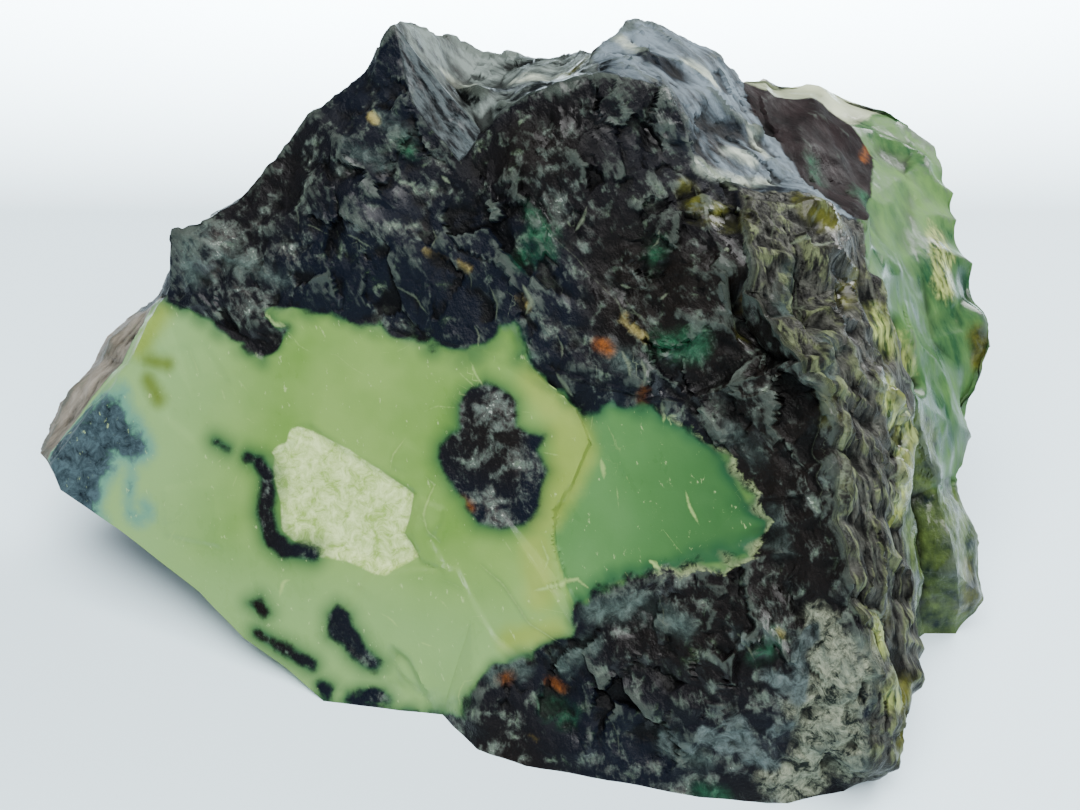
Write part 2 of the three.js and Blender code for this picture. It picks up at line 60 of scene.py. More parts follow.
CORNERS = dict(
    # the peak, the striated plate beside it and the left crest
    pk=(-11.5, 15, 61.5), pb=(-10, 21.5, 59.5), l1=(-18.5, 13.5, 54.5), l2=(-27.5, 10, 45),
    l3=(-33, 8.5, 40.5), k1=(-36, 8, 40), k2=(-37, 6.5, 37),
    p1=(-8, 12.5, 57.5), p2=(-2, 7, 52.5), p3=(-4.5, 5, 50), p4=(-10, 9.5, 56),
    # the narrow left end face and the overhanging tip
    o1=(-45, 11, 25), o2=(-49, 12.5, 20), o3=(-53.5, 9.5, 16), o4=(-55, 4, 13.5),
    # the foot of the front, round to the front right corner
    f6=(-19.5, -24, 0), f7=(-11, -25.5, 0), f8=(-6.5, -26, 0), f9=(-2.5, -30.5, 0),
    f10=(2.5, -33, 0), f11=(10, -34.5, 0), f12=(20, -37, 0), f13=(29, -38, 0),
    f14=(35, -36.5, 0),
    # the dark ridge along the top of the front
    r1=(1, 7.5, 56), r2=(4.5, 7.5, 58), r3=(7.5, 7, 59), r4=(10.5, 6.5, 59.5),
    r5=(14, 6, 58), r6=(17, 6, 57.5), r7=(19, 4.5, 55.5), r8=(20, 1.5, 52.5),
    r9=(24.5, 1.5, 49.5), r10=(31, 2, 48), r11=(34, 1.5, 45.5), r12=(38.5, 3, 43.5),
    # the dark upper part of the front
    a1=(-19.5, 6.5, 47), a2=(-29.5, 4.5, 39), a3=(-21, 2.5, 40.5), a4=(-9.5, 0, 41.5),
    a8=(1, -0.5, 47), a9=(7.5, 1, 52), a10=(15, -2.5, 49), a11=(10, -7, 40.5),
    a12=(19, -9, 42.5),
    # the dark apron at the foot of the front
    w10=(10, -30.5, 5.5), w14=(20, -30, 13.5), w15=(28, -26.5, 22.5), w16=(27.5, -35.5, 8),
    # the front right corner and its fibrous flank
    c1=(24.5, -7, 47.5), e0=(24.5, -11, 44), c2=(29, -17.5, 39.5), c3=(32, -20, 36.5),
    c4=(32.5, -25, 30), c5=(33, -30, 24), c6=(34.5, -33.5, 18), c7=(36, -36, 12.5),
    c8=(36, -38, 5.5), h1=(26.5, -12, 38), e1=(29.5, -5.5, 46), e2=(34.5, -4.5, 45),
    e3=(30.5, -10.5, 42.5), e4=(34.5, -11, 39.5), e5=(35.5, -16, 34.5), e6=(36.5, -20.5, 28),
    e7=(37.5, -25, 21), e8=(38.5, -28.5, 15), d1=(38.5, -1, 40), d2=(42, -2.5, 34.5),
    d3=(44, -6, 28), d4=(41, -13.5, 25.5), d5=(40.5, -18.5, 20.5), d6=(42, -22, 15.5),
    d7=(43, -23, 13), d8=(43, -25.5, 10), sp1=(41.5, -34.5, 4.5), sp2=(41, -30, 9),
    # the glossy right side, the groove in it and the lobe at its foot
    y1=(47, 21.5, 40.5), y2=(46.5, 10.5, 36), y3=(48.5, 3.5, 29), y4=(49, -2.5, 22),
    y5=(47.5, -8.5, 17.5), y6=(49, -14, 10), gr1=(44.5, -9, 16), gr2=(45.5, -13, 9),
    gr3=(45, -16.5, 0), gf1=(40, -31.5, 0), lf1=(48, -13.5, 0), lf2=(51.5, -13.5, 0),
    t1=(52.5, 29, 41), t2=(53, 26.5, 40), t3=(52.5, 18, 35), t4=(54.5, 13, 30.5),
    t5=(55, 8.5, 27), t6=(53.5, 4.5, 22), t7=(53.5, 0, 18), t8=(51.5, -3.5, 15),
    t9=(53.5, -8, 9), t10=(53.5, -12, 4.5),
    # the top: the dip behind the ridge, the streaked slope, the brown step and the back block
    s1=(-6, 27.5, 55), s2=(-2.5, 29, 51.5), s3=(1.5, 30.5, 50), s4=(6.5, 29.5, 50.5),
    ho1=(-5.5, 18, 53), ho2=(-0.5, 21, 52), u1=(9.5, 16, 57), u2=(14, 22.5, 57.5),
    u3=(18, 24, 57), u4=(23, 25, 55), u5=(27.5, 24.5, 51.5), u6=(32, 28.5, 49),
    u7=(36.5, 32.5, 47.5), u8=(40, 32.5, 46.5), u9=(44, 31.5, 44), u10=(49, 31, 42),
    v1=(15, 13, 58), v2=(22, 12.5, 54), v3=(27, 8.5, 50), va1=(27.5, 21, 51),
    va2=(29.5, 17, 48), va3=(32.5, 9, 46), va4=(36, 4.5, 44.5), br1=(31.5, 24, 49.5),
    br2=(36.5, 26, 48.5), br3=(40.5, 24.5, 46), br4=(42.5, 21, 43.5), br5=(40.5, 11, 42.5),
    # the back and the left underside
    x1=(53.5, 13.5, 12), x2=(50, 26.5, 22), bk2=(35, 38, 24), bk3=(12, 37.5, 28),
    bk4=(-10, 32.5, 33), bk5=(-28, 21.5, 25), bt1=(-20, 22.5, 44), bt2=(-39, 13.5, 30),
    bm1=(27, 34.5, 40), bm2=(14, 32.5, 44.5), bm3=(-2, 34, 42),
    lb1=(-41, 15.5, 11), ub1=(-46, 2.5, 8),
    # the resting face
    rb1=(52, 1.5, 0), rb2=(50, 17.5, 0), rb3=(44, 28.5, 0), gb2=(28, 33.5, 0),
    gb3=(6, 32.5, 0), gb4=(-12, 25.5, 0), gb5=(-24, 17.5, 0), gl2=(-32, 7.5, 0),
    gl1=(-28, -4.5, 0), b1=(-8, -0.5, 0), b2=(24, -0.5, 0),
)

# mm along the face's level line, uphill and outwards
FACE_CORNERS = dict(
    # left edge of the green window, down to the tip
    l4=(-32, 14, -1), i1=(-33, 11, -0.5), i2=(-34.5, 6, -0.5), i3=(-37, 2, -0.5),
    i4=(-40.5, -3, -0.5), tip=(-42.5, -7, 0),
    # lower edge, where the stone overhangs
    f1=(-41, -9.5, 0), f2=(-33, -12.5, 0), f3=(-22, -17.5, 0), f4=(-16, -21.5, 0),
    f5=(-11, -23.5, 0),
    # the flat of the window
    wa=(-26, 3.5, 0), wb=(-13, 3.5, 0), wc=(-1, 3, 0), wd=(-31.5, -5.5, 0),
    we=(-18.5, -8.5, 0), wf=(-5.5, -11, 0), wm=(8.5, 0, 0), w7=(9.5, -14, 0),
    # the edge of the raised flake, and the green panel right of it
    fb=(17, 9.5, 0), fc=(18.5, 7, 0), fd=(16.5, -1, 0), fe=(18, -8, 0), wn=(24, 3.5, 0.5),
    # upper and right edges, where the black begins
    a5=(-17.5, 10.5, 0.5), a6=(-5, 15.5, 0.5), a7=(6, 14, 0.5), a13=(19.5, 12.5, 1),
    a14=(28.5, 13, 1), a15=(36, 4, 1.5), w12=(31.5, -3, 1.5), w11=(21.5, -13.5, 1),
)
print(len(CORNERS) + len(FACE_CORNERS), "corners")

# %% Faces of the shell, by zone: each run of names is a fan, anticlockwise from outside
FANS = dict(
    end="l4 o1 i1, i1 o1 o2 i2, i2 o2 o3 i3, i3 o3 o4 i4, i4 o4 tip",
    window="wa l4 i1 i2 i3 wd we wb a5 l4, wd i3 i4 tip f1 f2 we, we f2 f3 f4 wf wb,"
           "wf f4 f5 f6 f7 w7 wc wb, wb wc a6 a5, wc w7 wm a7 a6, wm w7 w11 fe fd fc fb a7,"
           "a7 fb a13, wn fb fc fd fe w11 w12 a15 a14 a13 fb",
    apron="w7 f7 f8 f9 w10, w10 f9 f10 f11 f12 w16 w14 w11 w7, w11 w14 w12,"
          "w16 f12 f13 f14 c8 c7 c6 c5 w15 w14, w14 w15 w12, w12 w15 a15, w15 c5 c4 a15",
    front="a15 c4 c3 a14, a14 c3 c2 h1, a14 h1 a12, h1 c2 e0, h1 e0 c1 a12,"
          "a13 a14 a12 a11, a7 a13 a11, a12 c1 a10, a7 a11 a8 a4, a11 a12 a10 a9 a8,"
          "a9 a10 r8 r7 r6 r5 r4 r3 r2 r1 a8, a10 c1 r9 r8, a8 r1 p2 p3 a4,"
          "a1 pk l1 l2 l3 a2 a3 a4 p3 p4 pk, a2 l3 k1 k2 l4 a5 a3, a3 a5 a6 a4, a4 a6 a7",
    plate="pk p4 p3 p2 p1",
    flank="c1 e1 r10 r9, e1 e2 r11 r10, e2 d1 r12 r11, c1 e0 e3 e1, e1 e3 e2, e0 c2 e3,"
          "e3 c2 c3 e4, e3 e4 d1 e2, e4 c3 e5, e4 e5 d2 d1, e5 d3 d2, c3 c4 e6 e5,"
          "e5 e6 d4 d3, c4 c5 e7 e6, e6 e7 d5 d4, c5 c6 e8 e7, e7 e8 d6 d5, c6 c7 e8,"
          "c7 sp1 sp2 e8, c7 c8 sp1, e8 sp2 d8 d7, e8 d7 d6, gf1 gr3 d8 sp2 sp1,"
          "f14 gf1 sp1 c8",
    lobe="d7 d8 gr3, d6 d7 gr3 gr2, d5 d6 gr2 gr1, d4 d5 gr1, d3 d4 gr1 y5 y4,"
         "gr2 gr3 lf1, gr2 lf1 lf2 y6, gr1 gr2 y6 y5, y5 y6 t9 t8, y6 lf2 t10 t9",
    side="y4 y5 t8 t7, d2 d3 y4 y3, y3 y4 t7 t6 t5, d1 d2 y3 y2, y2 y3 t5 t4 t3,"
         "y1 y2 t3 t2, y1 t2 t1, y1 t1 u10, br5 r12 d1 y2 y1 br4, br3 br4 y1 u10 u9",
    block="br2 br3 u9 u8 u7, br1 br2 u7 u6, u5 br1 u6",
    step="va1 va2 br1 u5, va2 va3 br2 br1, va3 va4 br5 br4 br3 br2, va4 r12 br5",
    slope="r11 r12 va4, r10 r11 va4 va3, r9 r10 va3 v3, v3 va3 va2,"
          "v2 v3 va2 va1 u5 u4, r8 r9 v3 v2, r7 r8 v2, r6 r7 v2 v1, r5 r6 v1,"
          "r4 r5 v1 u1, u1 v1 u2, v1 v2 u4 u3 u2",
    dip="r3 r4 u1 s4, r2 r3 s4 s3, ho2 r1 r2 s3 s2, ho1 p2 r1 ho2, ho1 ho2 s2 s1,"
        "p1 p2 ho1, pk p1 ho1 s1 pb",
    back="lf2 rb1 t9 t10, t9 rb1 t8, t8 rb1 x1 t7, rb1 rb2 x1, t7 x1 t5 t6, t5 x1 x2 t3 t4,"
         "x1 rb2 rb3 x2, t3 x2 t1 t2,"
         "x2 rb3 gb2 bk2, t1 x2 bk2 u10, u10 bk2 u7 u8 u9, bk2 gb2 gb3 bk3, u7 bk2 bm1 u5 u6,"
         "bk2 bk3 bm1, bk3 bm2 bm1, bm1 bm2 u3 u4 u5, bm2 s4 u1 u2 u3, bk3 bk4 bm3,"
         "bk3 bm3 bm2, bm2 bm3 s3 s4, bk4 s1 s2 s3 bm3, bk3 gb3 gb4 bk4, bk4 gb4 gb5 bk5,"
         "s1 bk4 bt1 pb, bk4 bk5 bt1, pb bt1 l1 pk, l1 bt1 l2, bt1 bk5 bt2 l3 l2,"
         "l3 bt2 k1, k1 bt2 k2, k2 bt2 l4, l4 bt2 o1, bt2 bk5 lb1 o2 o1, bk5 gb5 lb1",
    under="lb1 o3 o2, lb1 ub1 o4 o3, o4 ub1 f1 tip, ub1 f2 f1, ub1 gl1 f3 f2,"
          "gl1 f6 f5 f4 f3, lb1 gb5 gl2 gl1 ub1",
    foot="b1 gl1 gl2 gb5 gb4 gb3 b2 f11 f10 f9 f8 f7 f6 gl1,"
         "b2 gb3 gb2 rb3 rb2 rb1 lf2 lf1 gr3 gf1 f14 f13 f12 f11",
)
names = [*CORNERS, *FACE_CORNERS]
ZONES = list(FANS)
corner_places = np.array(
    [CORNERS[name] for name in CORNERS]
    + [FACE_POINT + level * FACE_LEVEL + uphill * FACE_UPHILL + out * FACE_OUT
       for level, uphill, out in FACE_CORNERS.values()], dtype=float)
shell_faces, shell_zones = [], []
for zone_name, fans in FANS.items():
    for hub, *rim in map(str.split, fans.split(",")):
        shell_faces += [(names.index(hub), names.index(a), names.index(b))
                        for a, b in zip(rim, rim[1:])]
    shell_zones += [ZONES.index(zone_name)] * (len(shell_faces) - len(shell_zones))
shell_faces, shell_zones = np.array(shell_faces), np.array(shell_zones)
print(len(shell_faces), "flat faces in", len(ZONES), "zones")

# %% [markdown]
# ## An even net
# The flat faces differ a lot in size. Long edges are halved until none is too long for its
# zone, so that what is seen from close by gets small triangles. Then every triangle is a
# surface of two parameters, the shares u and v of its second and third corner, and one small
# triangular grid is worked out for all of them at once.

# %% Halve the long edges
# the longest edge in mm, in front and elsewhere, and the parts that each edge gets after that
FRONT_EDGE = 1.2
LONGEST_EDGE = dict(foot=14, back=3, under=3, block=1.6, dip=1.6)
STEPS = 2


def halve_edges(corners, faces, zones):
    """Cuts every edge that is too long at its middle, until none is; faces split 2, 3 or 4 ways."""
    allowed = np.array([LONGEST_EDGE.get(name, FRONT_EDGE) for name in ZONES])
    while True:
        sides = np.sort(faces[:, [[0, 1], [1, 2], [2, 0]]].reshape(-1, 2), axis=1)
        pairs, which = np.unique(sides, axis=0, return_inverse=True)
        # an edge between two zones takes the stricter of their limits
        limit = np.full(len(pairs), 99.0)
        np.minimum.at(limit, which.reshape(-1), np.repeat(allowed[zones], 3))
        middle = corners[pairs].mean(axis=1)
        long = np.linalg.norm(corners[pairs[:, 0]] - corners[pairs[:, 1]], axis=1) > limit
        if not long.any():
            return corners, faces, zones
        number = np.where(long, len(corners) + np.cumsum(long) - 1, -1)
        corners = np.concatenate([corners, middle[long]])
        cut = number[which.reshape(-1)].reshape(-1, 3)
        count = (cut >= 0).sum(axis=1)
        # turn each face so that its one cut, or its one uncut side, comes first
        turn = np.where(count == 1, np.argmax(cut >= 0, axis=1), np.argmin(cut >= 0, axis=1))
        order = (np.arange(3) + turn[:, None]) % 3
        (a, b, c), (ab, bc, ca) = (np.take_along_axis(m, order, 1).T for m in (faces, cut))
        parts = {0: [(a, b, c)], 1: [(a, ab, c), (ab, b, c)],
                 2: [(a, b, bc), (a, bc, ca), (ca, bc, c)],
                 3: [(a, ab, ca), (ab, b, bc), (ca, bc, c), (ab, bc, ca)]}
        faces = np.concatenate([np.stack(part, axis=1)[count == n]
                                for n, split in parts.items() for part in split])
        zones = np.concatenate([zones[count == n] for n, split in parts.items() for _ in split])


halved, halved_faces, halved_zones = halve_edges(corner_places, shell_faces, shell_zones)
print(len(halved_faces), "faces after halving")

# %% The fine shell


def fine_grid(corners, faces, steps):
    """Points first + u (second - first) + v (third - first) with u + v up to 1, on every face."""
    i, j = np.meshgrid(np.arange(steps + 1), np.arange(steps + 1), indexing="ij")
    used = i + j <= steps
    number = np.full(i.shape, -1)
    number[used] = np.arange(used.sum())
    shares = np.stack([steps - i[used] - j[used], i[used], j[used]], axis=1) / steps
    points = np.einsum("kc,fcx->fkx", shares, corners[faces])
    ups = np.stack([number[:-1, :-1], number[1:, :-1], number[:-1, 1:]], axis=-1)
    downs = np.stack([number[1:, :-1], number[1:, 1:], number[:-1, 1:]], axis=-1)
    small = np.concatenate([ups[i[:-1, :-1] + j[:-1, :-1] < steps],
                            downs[i[:-1, :-1] + j[:-1, :-1] < steps - 1]])
    all_faces = (np.arange(len(faces))[:, None, None] * used.sum() + small).reshape(-1, 3)
    _, first, merged = np.unique(np.round(points.reshape(-1, 3), 4), axis=0,
                                 return_index=True, return_inverse=True)
    return points.reshape(-1, 3)[first], merged.reshape(-1)[all_faces]


shell, triangles = fine_grid(halved, halved_faces, STEPS)
print(len(shell), "points and", len(triangles), "triangles")

# %% [markdown]
# ## Soft borders between the zones
# Colour and texture change where one zone meets the next, but never on a ruled line. Each zone
# is a field that is 1 inside and 0 outside, averaged with its neighbours a few times. Half-way
# is the border, and later a little noise is added before the field is cut there.

# %% Share of each zone at every point
BORDER_ROUNDS = 4
edges = np.unique(np.sort(triangles[:, [[0, 1], [1, 2], [2, 0]]].reshape(-1, 2), axis=1), axis=0)
ends, others = edges.T
neighbours = np.bincount(edges.reshape(-1), minlength=len(shell))


def spread(values, rounds):
    """Half of a point's value and half of its neighbours' mean, over and over."""
    for _ in range(rounds):
        near = (np.bincount(ends, values[others], len(shell))
                + np.bincount(others, values[ends], len(shell)))
        values = 0.5 * values + 0.5 * near / neighbours
    return values


face_zones = np.repeat(halved_zones, STEPS * STEPS)
zone = {}
for number, name in enumerate(ZONES):
    inside = np.repeat(face_zones == number, 3)
    share = np.bincount(triangles.reshape(-1), inside, len(shell))
    share = share / np.bincount(triangles.reshape(-1), minlength=len(shell))
    zone[name] = spread(share, BORDER_ROUNDS)
print({name: round(float(share.mean()), 3) for name, share in zone.items()})

# %% [markdown]
# ## What a break leaves behind
# Serpentine breaks into shell-shaped chips. Three random fields give that: a smooth one for broad
# swellings, one made of bowls that meet in sharp rims, and one made of flat, tilted scales. All
# come from whole-number hashes, so the same relief can be worked out anywhere.

# %% Random fields


def hashed(i, j, k, seed):
    """A number from 0 to 1 that looks random and is always the same for the same cell."""
    i, j, k = (np.asarray(n).astype(np.int64).astype(np.uint32) for n in (i, j, k))
    seed = np.uint32(seed * 0x27d4eb2f & 0xffffffff)
    h = i * np.uint32(0x9e3779b1) ^ j * np.uint32(0x85ebca77) ^ k * np.uint32(0xc2b2ae3d) ^ seed
    h = (h ^ h >> np.uint32(15)) * np.uint32(0x2c1b3c6d)
    h = (h ^ h >> np.uint32(12)) * np.uint32(0x297a2d39)
    return (h ^ h >> np.uint32(15)) / 4294967296


def smooth(x):
    """0 below 0, 1 above 1 and an S-curve between: x squared times (3 - 2x)."""
    x = np.clip(x, 0, 1)
    return x * x * (3 - 2 * x)


def field(x, y, z, seed):
    """Smooth random field from -1 to 1: the eight corners of a unit cell, blended by S-curves."""
    cell = [np.floor(c) for c in (x, y, z)]
    u, v, w = (smooth(c - f) for c, f in zip((x, y, z), cell))
    total = 0
    for n in range(8):
        i, j, k = n & 1, n >> 1 & 1, n >> 2
        weight = (u if i else 1 - u) * (v if j else 1 - v) * (w if k else 1 - w)
        total = total + weight * hashed(cell[0] + i, cell[1] + j, cell[2] + k, seed)
    return 2 * total - 1


def bowls(x, y, z, seed):
    """Bowls that meet in sharp rims: squared distance to the nearest of scattered centres."""
    cell = [np.floor(c) for c in (x, y, z)]
    nearest = np.full(np.shape(x), 1.0)
    for n in range(27):
        i, j, k = cell[0] + n % 3 - 1, cell[1] + n // 3 % 3 - 1, cell[2] + n // 9 - 1
        gap = ((i + hashed(i, j, k, seed) - x) ** 2 + (j + hashed(i, j, k, seed + 1) - y) ** 2
               + (k + hashed(i, j, k, seed + 2) - z) ** 2)
        nearest = np.minimum(nearest, gap)
    return nearest


def scales(x, y, z, seed):
    """Flat tilted scales with steps between: the slope and height of the nearest scattered centre.

    The second result is how much further the next centre is: 0 on the line between two scales."""
    cell = [np.floor(c) for c in (x, y, z)]
    nearest, second = np.full(np.shape(x), 9.0), np.full(np.shape(x), 9.0)
    height = np.zeros(np.shape(x))
    for n in range(27):
        i, j, k = cell[0] + n % 3 - 1, cell[1] + n // 3 % 3 - 1, cell[2] + n // 9 - 1
        a, b, c, tall = (hashed(i, j, k, seed + m) - 0.5 for m in range(4))
        dx, dy, dz = x - i - 0.5 - a, y - j - 0.5 - b, z - k - 0.5 - c
        gap = dx * dx + dy * dy + dz * dz
        tilted = 1.6 * (b * dx + c * dy + a * dz) + tall
        height = np.where(gap < nearest, tilted, height)
        second = np.clip(gap, nearest, second)
        nearest = np.minimum(nearest, gap)
    return height, np.sqrt(second) - np.sqrt(nearest)


print("a bowl's depth at the origin:", bowls(np.zeros(1), np.zeros(1), np.zeros(1), 21))

# %% Distances to outlines and lines


def depth_inside(outline, s, t):
    """Distance inside a closed outline, minus outside it: nearest side, and a crossing count."""
    nearest, within = np.full(s.shape, 1e9), np.zeros(s.shape, bool)
    for (s0, t0), (s1, t1) in zip(outline[-1:] + outline[:-1], outline):
        ds, dt = s1 - s0, t1 - t0
        share = np.clip(((s - s0) * ds + (t - t0) * dt) / (ds * ds + dt * dt), 0, 1)
        nearest = np.minimum(nearest, np.hypot(s - s0 - share * ds, t - t0 - share * dt))
        if dt:
            within ^= ((t0 > t) != (t1 > t)) & (s < s0 + (t - t0) / dt * ds)
    return np.where(within, nearest, -nearest)


def line_distance(p, *stops):
    """Distance from each point to a line through two or more stops, in the plane or in space."""
    nearest = np.full(len(p), 1e9)
    for start, end in zip(stops, stops[1:]):
        start, run = np.array(start, float), np.subtract(end, start, dtype=float)
        share = np.clip((p - start) @ run / max(run @ run, 1e-9), 0, 1)
        nearest = np.minimum(nearest, np.linalg.norm(p - start - share[:, None] * run, axis=1))
    return nearest


def near_line(p, start, end, radius):
    """1 on the line between two points, 0 a radius away from it, and an S-curve between."""
    return smooth(1 - line_distance(p, start, end) / radius)


print("half-way along a line:", near_line(np.zeros((1, 3)), (-1, 0, 0), (1, 0, 0), 1))

# %% [markdown]
# ## Relief that the solid has too
# Each part of the surface broke in its own way. The flat window of green is nearly smooth, with
# one raised flake and one pale chip scar. The front right corner is fibrous, the right side is
# glossy with soft waves, and the slope behind the ridge is streaked and glossy too.

# %% Outlines on the front face, and hollows and knobs
WINDOW = [
    (-32, 14), (-27, 13), (-22.5, 11), (-18.5, 9.5), (-17, 11), (-16.5, 13), (-19.5, 15),
    (-15, 15.5), (-10, 15.5), (-5.5, 15), (-2, 14), (1.5, 13.5), (5, 13), (6.5, 15.5),
    (9, 17.5), (10.5, 14.5), (13.5, 13), (15.5, 11.5), (18, 10), (21, 11.5), (25, 11.5),
    (29, 10.5), (33, 8), (35, 6), (36, 3.5), (40, 2), (39.5, 0), (34.5, -2), (30.5, -4),
    (26.5, -6), (24, -7), (20.5, -10.5), (20.5, -13.5), (18, -15), (15.5, -17), (13, -18.5),
    (11.5, -20.5), (10, -23.5), (7, -25.5), (-12, -27), (-46, -12), (-46, 0), (-38, 12)]
PANEL = [
    (10.5, 14.5), (13, 12.5), (17, 10), (19, 7), (18, 2.5), (16.5, -1), (17, -4.5), (18.5, -8),
    (20.5, -10.5), (24, -7), (30.5, -4), (39.5, 0), (40, 2), (36, 3.5), (33, 8), (25, 13)]
SCAR = [
    (-16, -1), (-13.5, 1), (-13.5, 2.5), (-12, 3), (-7.5, 1), (-1.5, -1), (1, -2), (0.5, -6.5),
    (2.5, -8.5), (0, -10.5), (-11, -9.5), (-13.5, -5.5)]
# the scar's colour keeps closer to its broken edge than the shallow step does
SCAR_EDGE = [
    (-15.8, -0.6), (-15.1, 0.3), (-14.2, 0.7), (-14.1, 2.2), (-13.1, 2.8), (-10.3, 2.1),
    (-7.2, 1.3), (-3.5, -0.2), (-0.4, -1.6), (0.7, -2.2), (0.8, -4.3), (0.5, -6.5), (2.5, -8.6),
    (0.8, -10), (-0.7, -11.3), (-2.4, -11.3), (-5.3, -10.6), (-8.1, -10.8), (-10.3, -10.2),
    (-11.9, -9.5), (-13.1, -8.8), (-13.9, -5.6), (-15, -3.4)]
# the soft dark patch at the tip
TIP = [
    (-35.2, 3.6), (-34.4, 3.4), (-33.4, 1.2), (-31.7, -0.5), (-30.2, -1.7), (-29.9, -3.2),
    (-30.7, -4.5), (-32.2, -5), (-34.2, -5.1), (-34.8, -7.2), (-35.6, -10.5), (-34.4, -12.4),
    (-45, -12), (-46, -4), (-38, 2)]
# hollows and knobs: two ends in space, radius, and height in mm, less than 0 for a hollow
MARKS = [
    ((30.5, -8, 44.5), (31, -13, 41), 2.6, -2.4), ((25, -10, 42), (28.5, -17, 37.5), 3.4, -2.2),
    ((38, -4.5, 39), (40, -8, 34), 2.8, -1.4), ((43, -2, 34), (45.5, -3.5, 28), 2.4, -1.4),
    ((38.5, -29, 15.5), (39.5, -30.5, 11), 3, -1.8), ((31.5, 0, 46.5), (33, 0.5, 46), 2.2, 1.2),
    ((54, 9, 28), (54.5, 8, 25.5), 3, 1.2), ((53, 3, 20), (53.5, 1, 17), 2.6, -1),
    ((-36, 8, 39), (-35, 7, 39), 3, 0.8), ((0, 12, 56), (-2, 8, 53), 2, -0.8)]
x, y, z = shell.T
offset = shell - FACE_POINT
level, uphill, proud = offset @ FACE_LEVEL, offset @ FACE_UPHILL, offset @ FACE_OUT
on_plane = np.stack([level, uphill], axis=1)
on_face = smooth(1.5 - np.abs(proud) / 4)
in_window = depth_inside(WINDOW, level, uphill)
in_panel = depth_inside(PANEL, level, uphill)
in_scar = depth_inside(SCAR, level, uphill)
window = on_face * smooth(in_window / 1.5 + 0.5)
flank = near_line(shell, (30, -10, 44), (38, -34, 6), 16)
glossy = near_line(shell, (53, 26, 44), (52, 0, 20), 20) * (1 - flank)
slope = near_line(shell, (16, 12, 58), (30, 14, 50), 13)
rough = (1 - 0.92 * window) * (1 - 0.75 * glossy) * (1 - 0.6 * slope)
print("share of points in the window:", round(float((window > 0.5).mean()), 3))

# %% The solid's relief
# the egg's middle and radii in mm, and the height over which the relief fades out at the foot
EGG_MIDDLE, EGG_RADII = (4, 14, 6), (35, 38, 32)
FOOT_FADE = 3


def coarse_points(p):
    """Each point is pushed by its relief along the outward line of a wide egg round the stone.

    The relief is a sum of fields; the number in front of each one is its height in mm."""
    x, y, z = p.T
    height = 1.0 * (0.25 + 0.75 * rough) * field(*(p.T / 17), 11)
    height += 2.2 * rough * (bowls(*(p.T / 12), 21) - 0.25)
    height += 1.1 * rough * (bowls(*(p.T / 5.5), 31) - 0.25)
    strand = field((x + 0.1 * z) / 2.6, (y + 0.6 * z) / 2.6, (z - 0.35 * y) / 15, 41)
    height += 1.1 * flank * (1 - 2 * np.abs(strand))
    wave = field(x / 9, (y + 0.4 * z) / 5, z / 13, 51)
    height += 1.1 * np.maximum(glossy, 0.7 * slope) * (1 - 2 * np.abs(wave))
    height -= 0.8 * on_face * smooth(in_panel / 0.6 + 0.5)
    height -= 0.5 * on_face * smooth(in_scar / 0.6 + 0.5)
    for start, end, radius, push in MARKS:
        height += push * near_line(p, start, end, radius)
    out = (p - EGG_MIDDLE) / np.square(EGG_RADII)
    out /= np.linalg.norm(out, axis=1, keepdims=True)
    lift = smooth(z / FOOT_FADE)
    out *= (height * (0.35 + 0.65 * lift))[:, None]
    out[:, 2] *= lift
    moved = p + out
    moved[:, 2] = np.where(z == 0, 0, np.maximum(moved[:, 2], 0))
    return moved


coarse = coarse_points(shell)
print("size with the solid's relief, mm:", np.round(np.ptp(coarse, axis=0), 1))

# %% [markdown]
# ## Grain direction
# Serpentine grew in sheets and fibres, and its chips, streaks and specks all lie along them.
# Every zone has one fibre direction. Each point gets three numbers: how far it is across the
# fibres, twice, and along them. Patterns on these numbers are long and thin, and turn from zone
# to zone as the real fibres do.

# %% Place across and along the fibres, in mm
FIBRES = dict(
    end=(-8.5, -1.5, -9), window=(0.3, -0.05, -0.95), apron=(0.35, -0.3, -0.9),
    front=(0.55, -0.35, -0.75), plate=(6, -5.5, -5), flank=(0.18, -0.5, -0.85),
    lobe=(0.1, -0.2, -1), side=(0.25, -0.35, -0.9), block=(1, -0.1, -0.2),
    step=(0.4, -0.6, -0.3), slope=(26, -12, -13), dip=(0.8, -0.5, -0.2),
    back=(0.5, 0.2, -0.8), under=(-0.7, 0.4, 0.3), foot=(1, 0, 0))
along = np.array([FIBRES[name] for name in ZONES], float)
along /= np.linalg.norm(along, axis=1, keepdims=True)
across = np.cross(along, (0.0, 0.6, 0.8))
across /= np.linalg.norm(across, axis=1, keepdims=True)
beside = np.cross(along, across)
main_zone = np.argmax(np.stack([zone[name] for name in ZONES]), axis=0)
flow = np.stack([(shell * frame_axis[main_zone]).sum(axis=1)
                 for frame_axis in (across, beside, along)], axis=1)
print("longest run along the fibres:", round(float(np.ptp(flow[:, 2]))), "mm")

# %% [markdown]
# ## Finer relief
# The solid stops at forms of a few millimetres. The skin goes on to what the eye still reads as
# shape from close by: small chips and lumps in the black, splinters along the fibres, and thin
# flakes on the window. These are pushed along the true outward direction of every point.

# %% Outward direction


def outward(p):
    """The mean of the faces round each point, each counted by its area: sum of cross products."""
    a, b, c = p[triangles.T]
    area = np.cross(b - a, c - a)
    total = np.stack([np.bincount(triangles.reshape(-1), np.repeat(area[:, axis], 3), len(p))
                      for axis in range(3)], axis=1)
    return total / np.linalg.norm(total, axis=1, keepdims=True)


out = outward(coarse)
print("points that face up:", round(float((out[:, 2] > 0.5).mean()), 3))

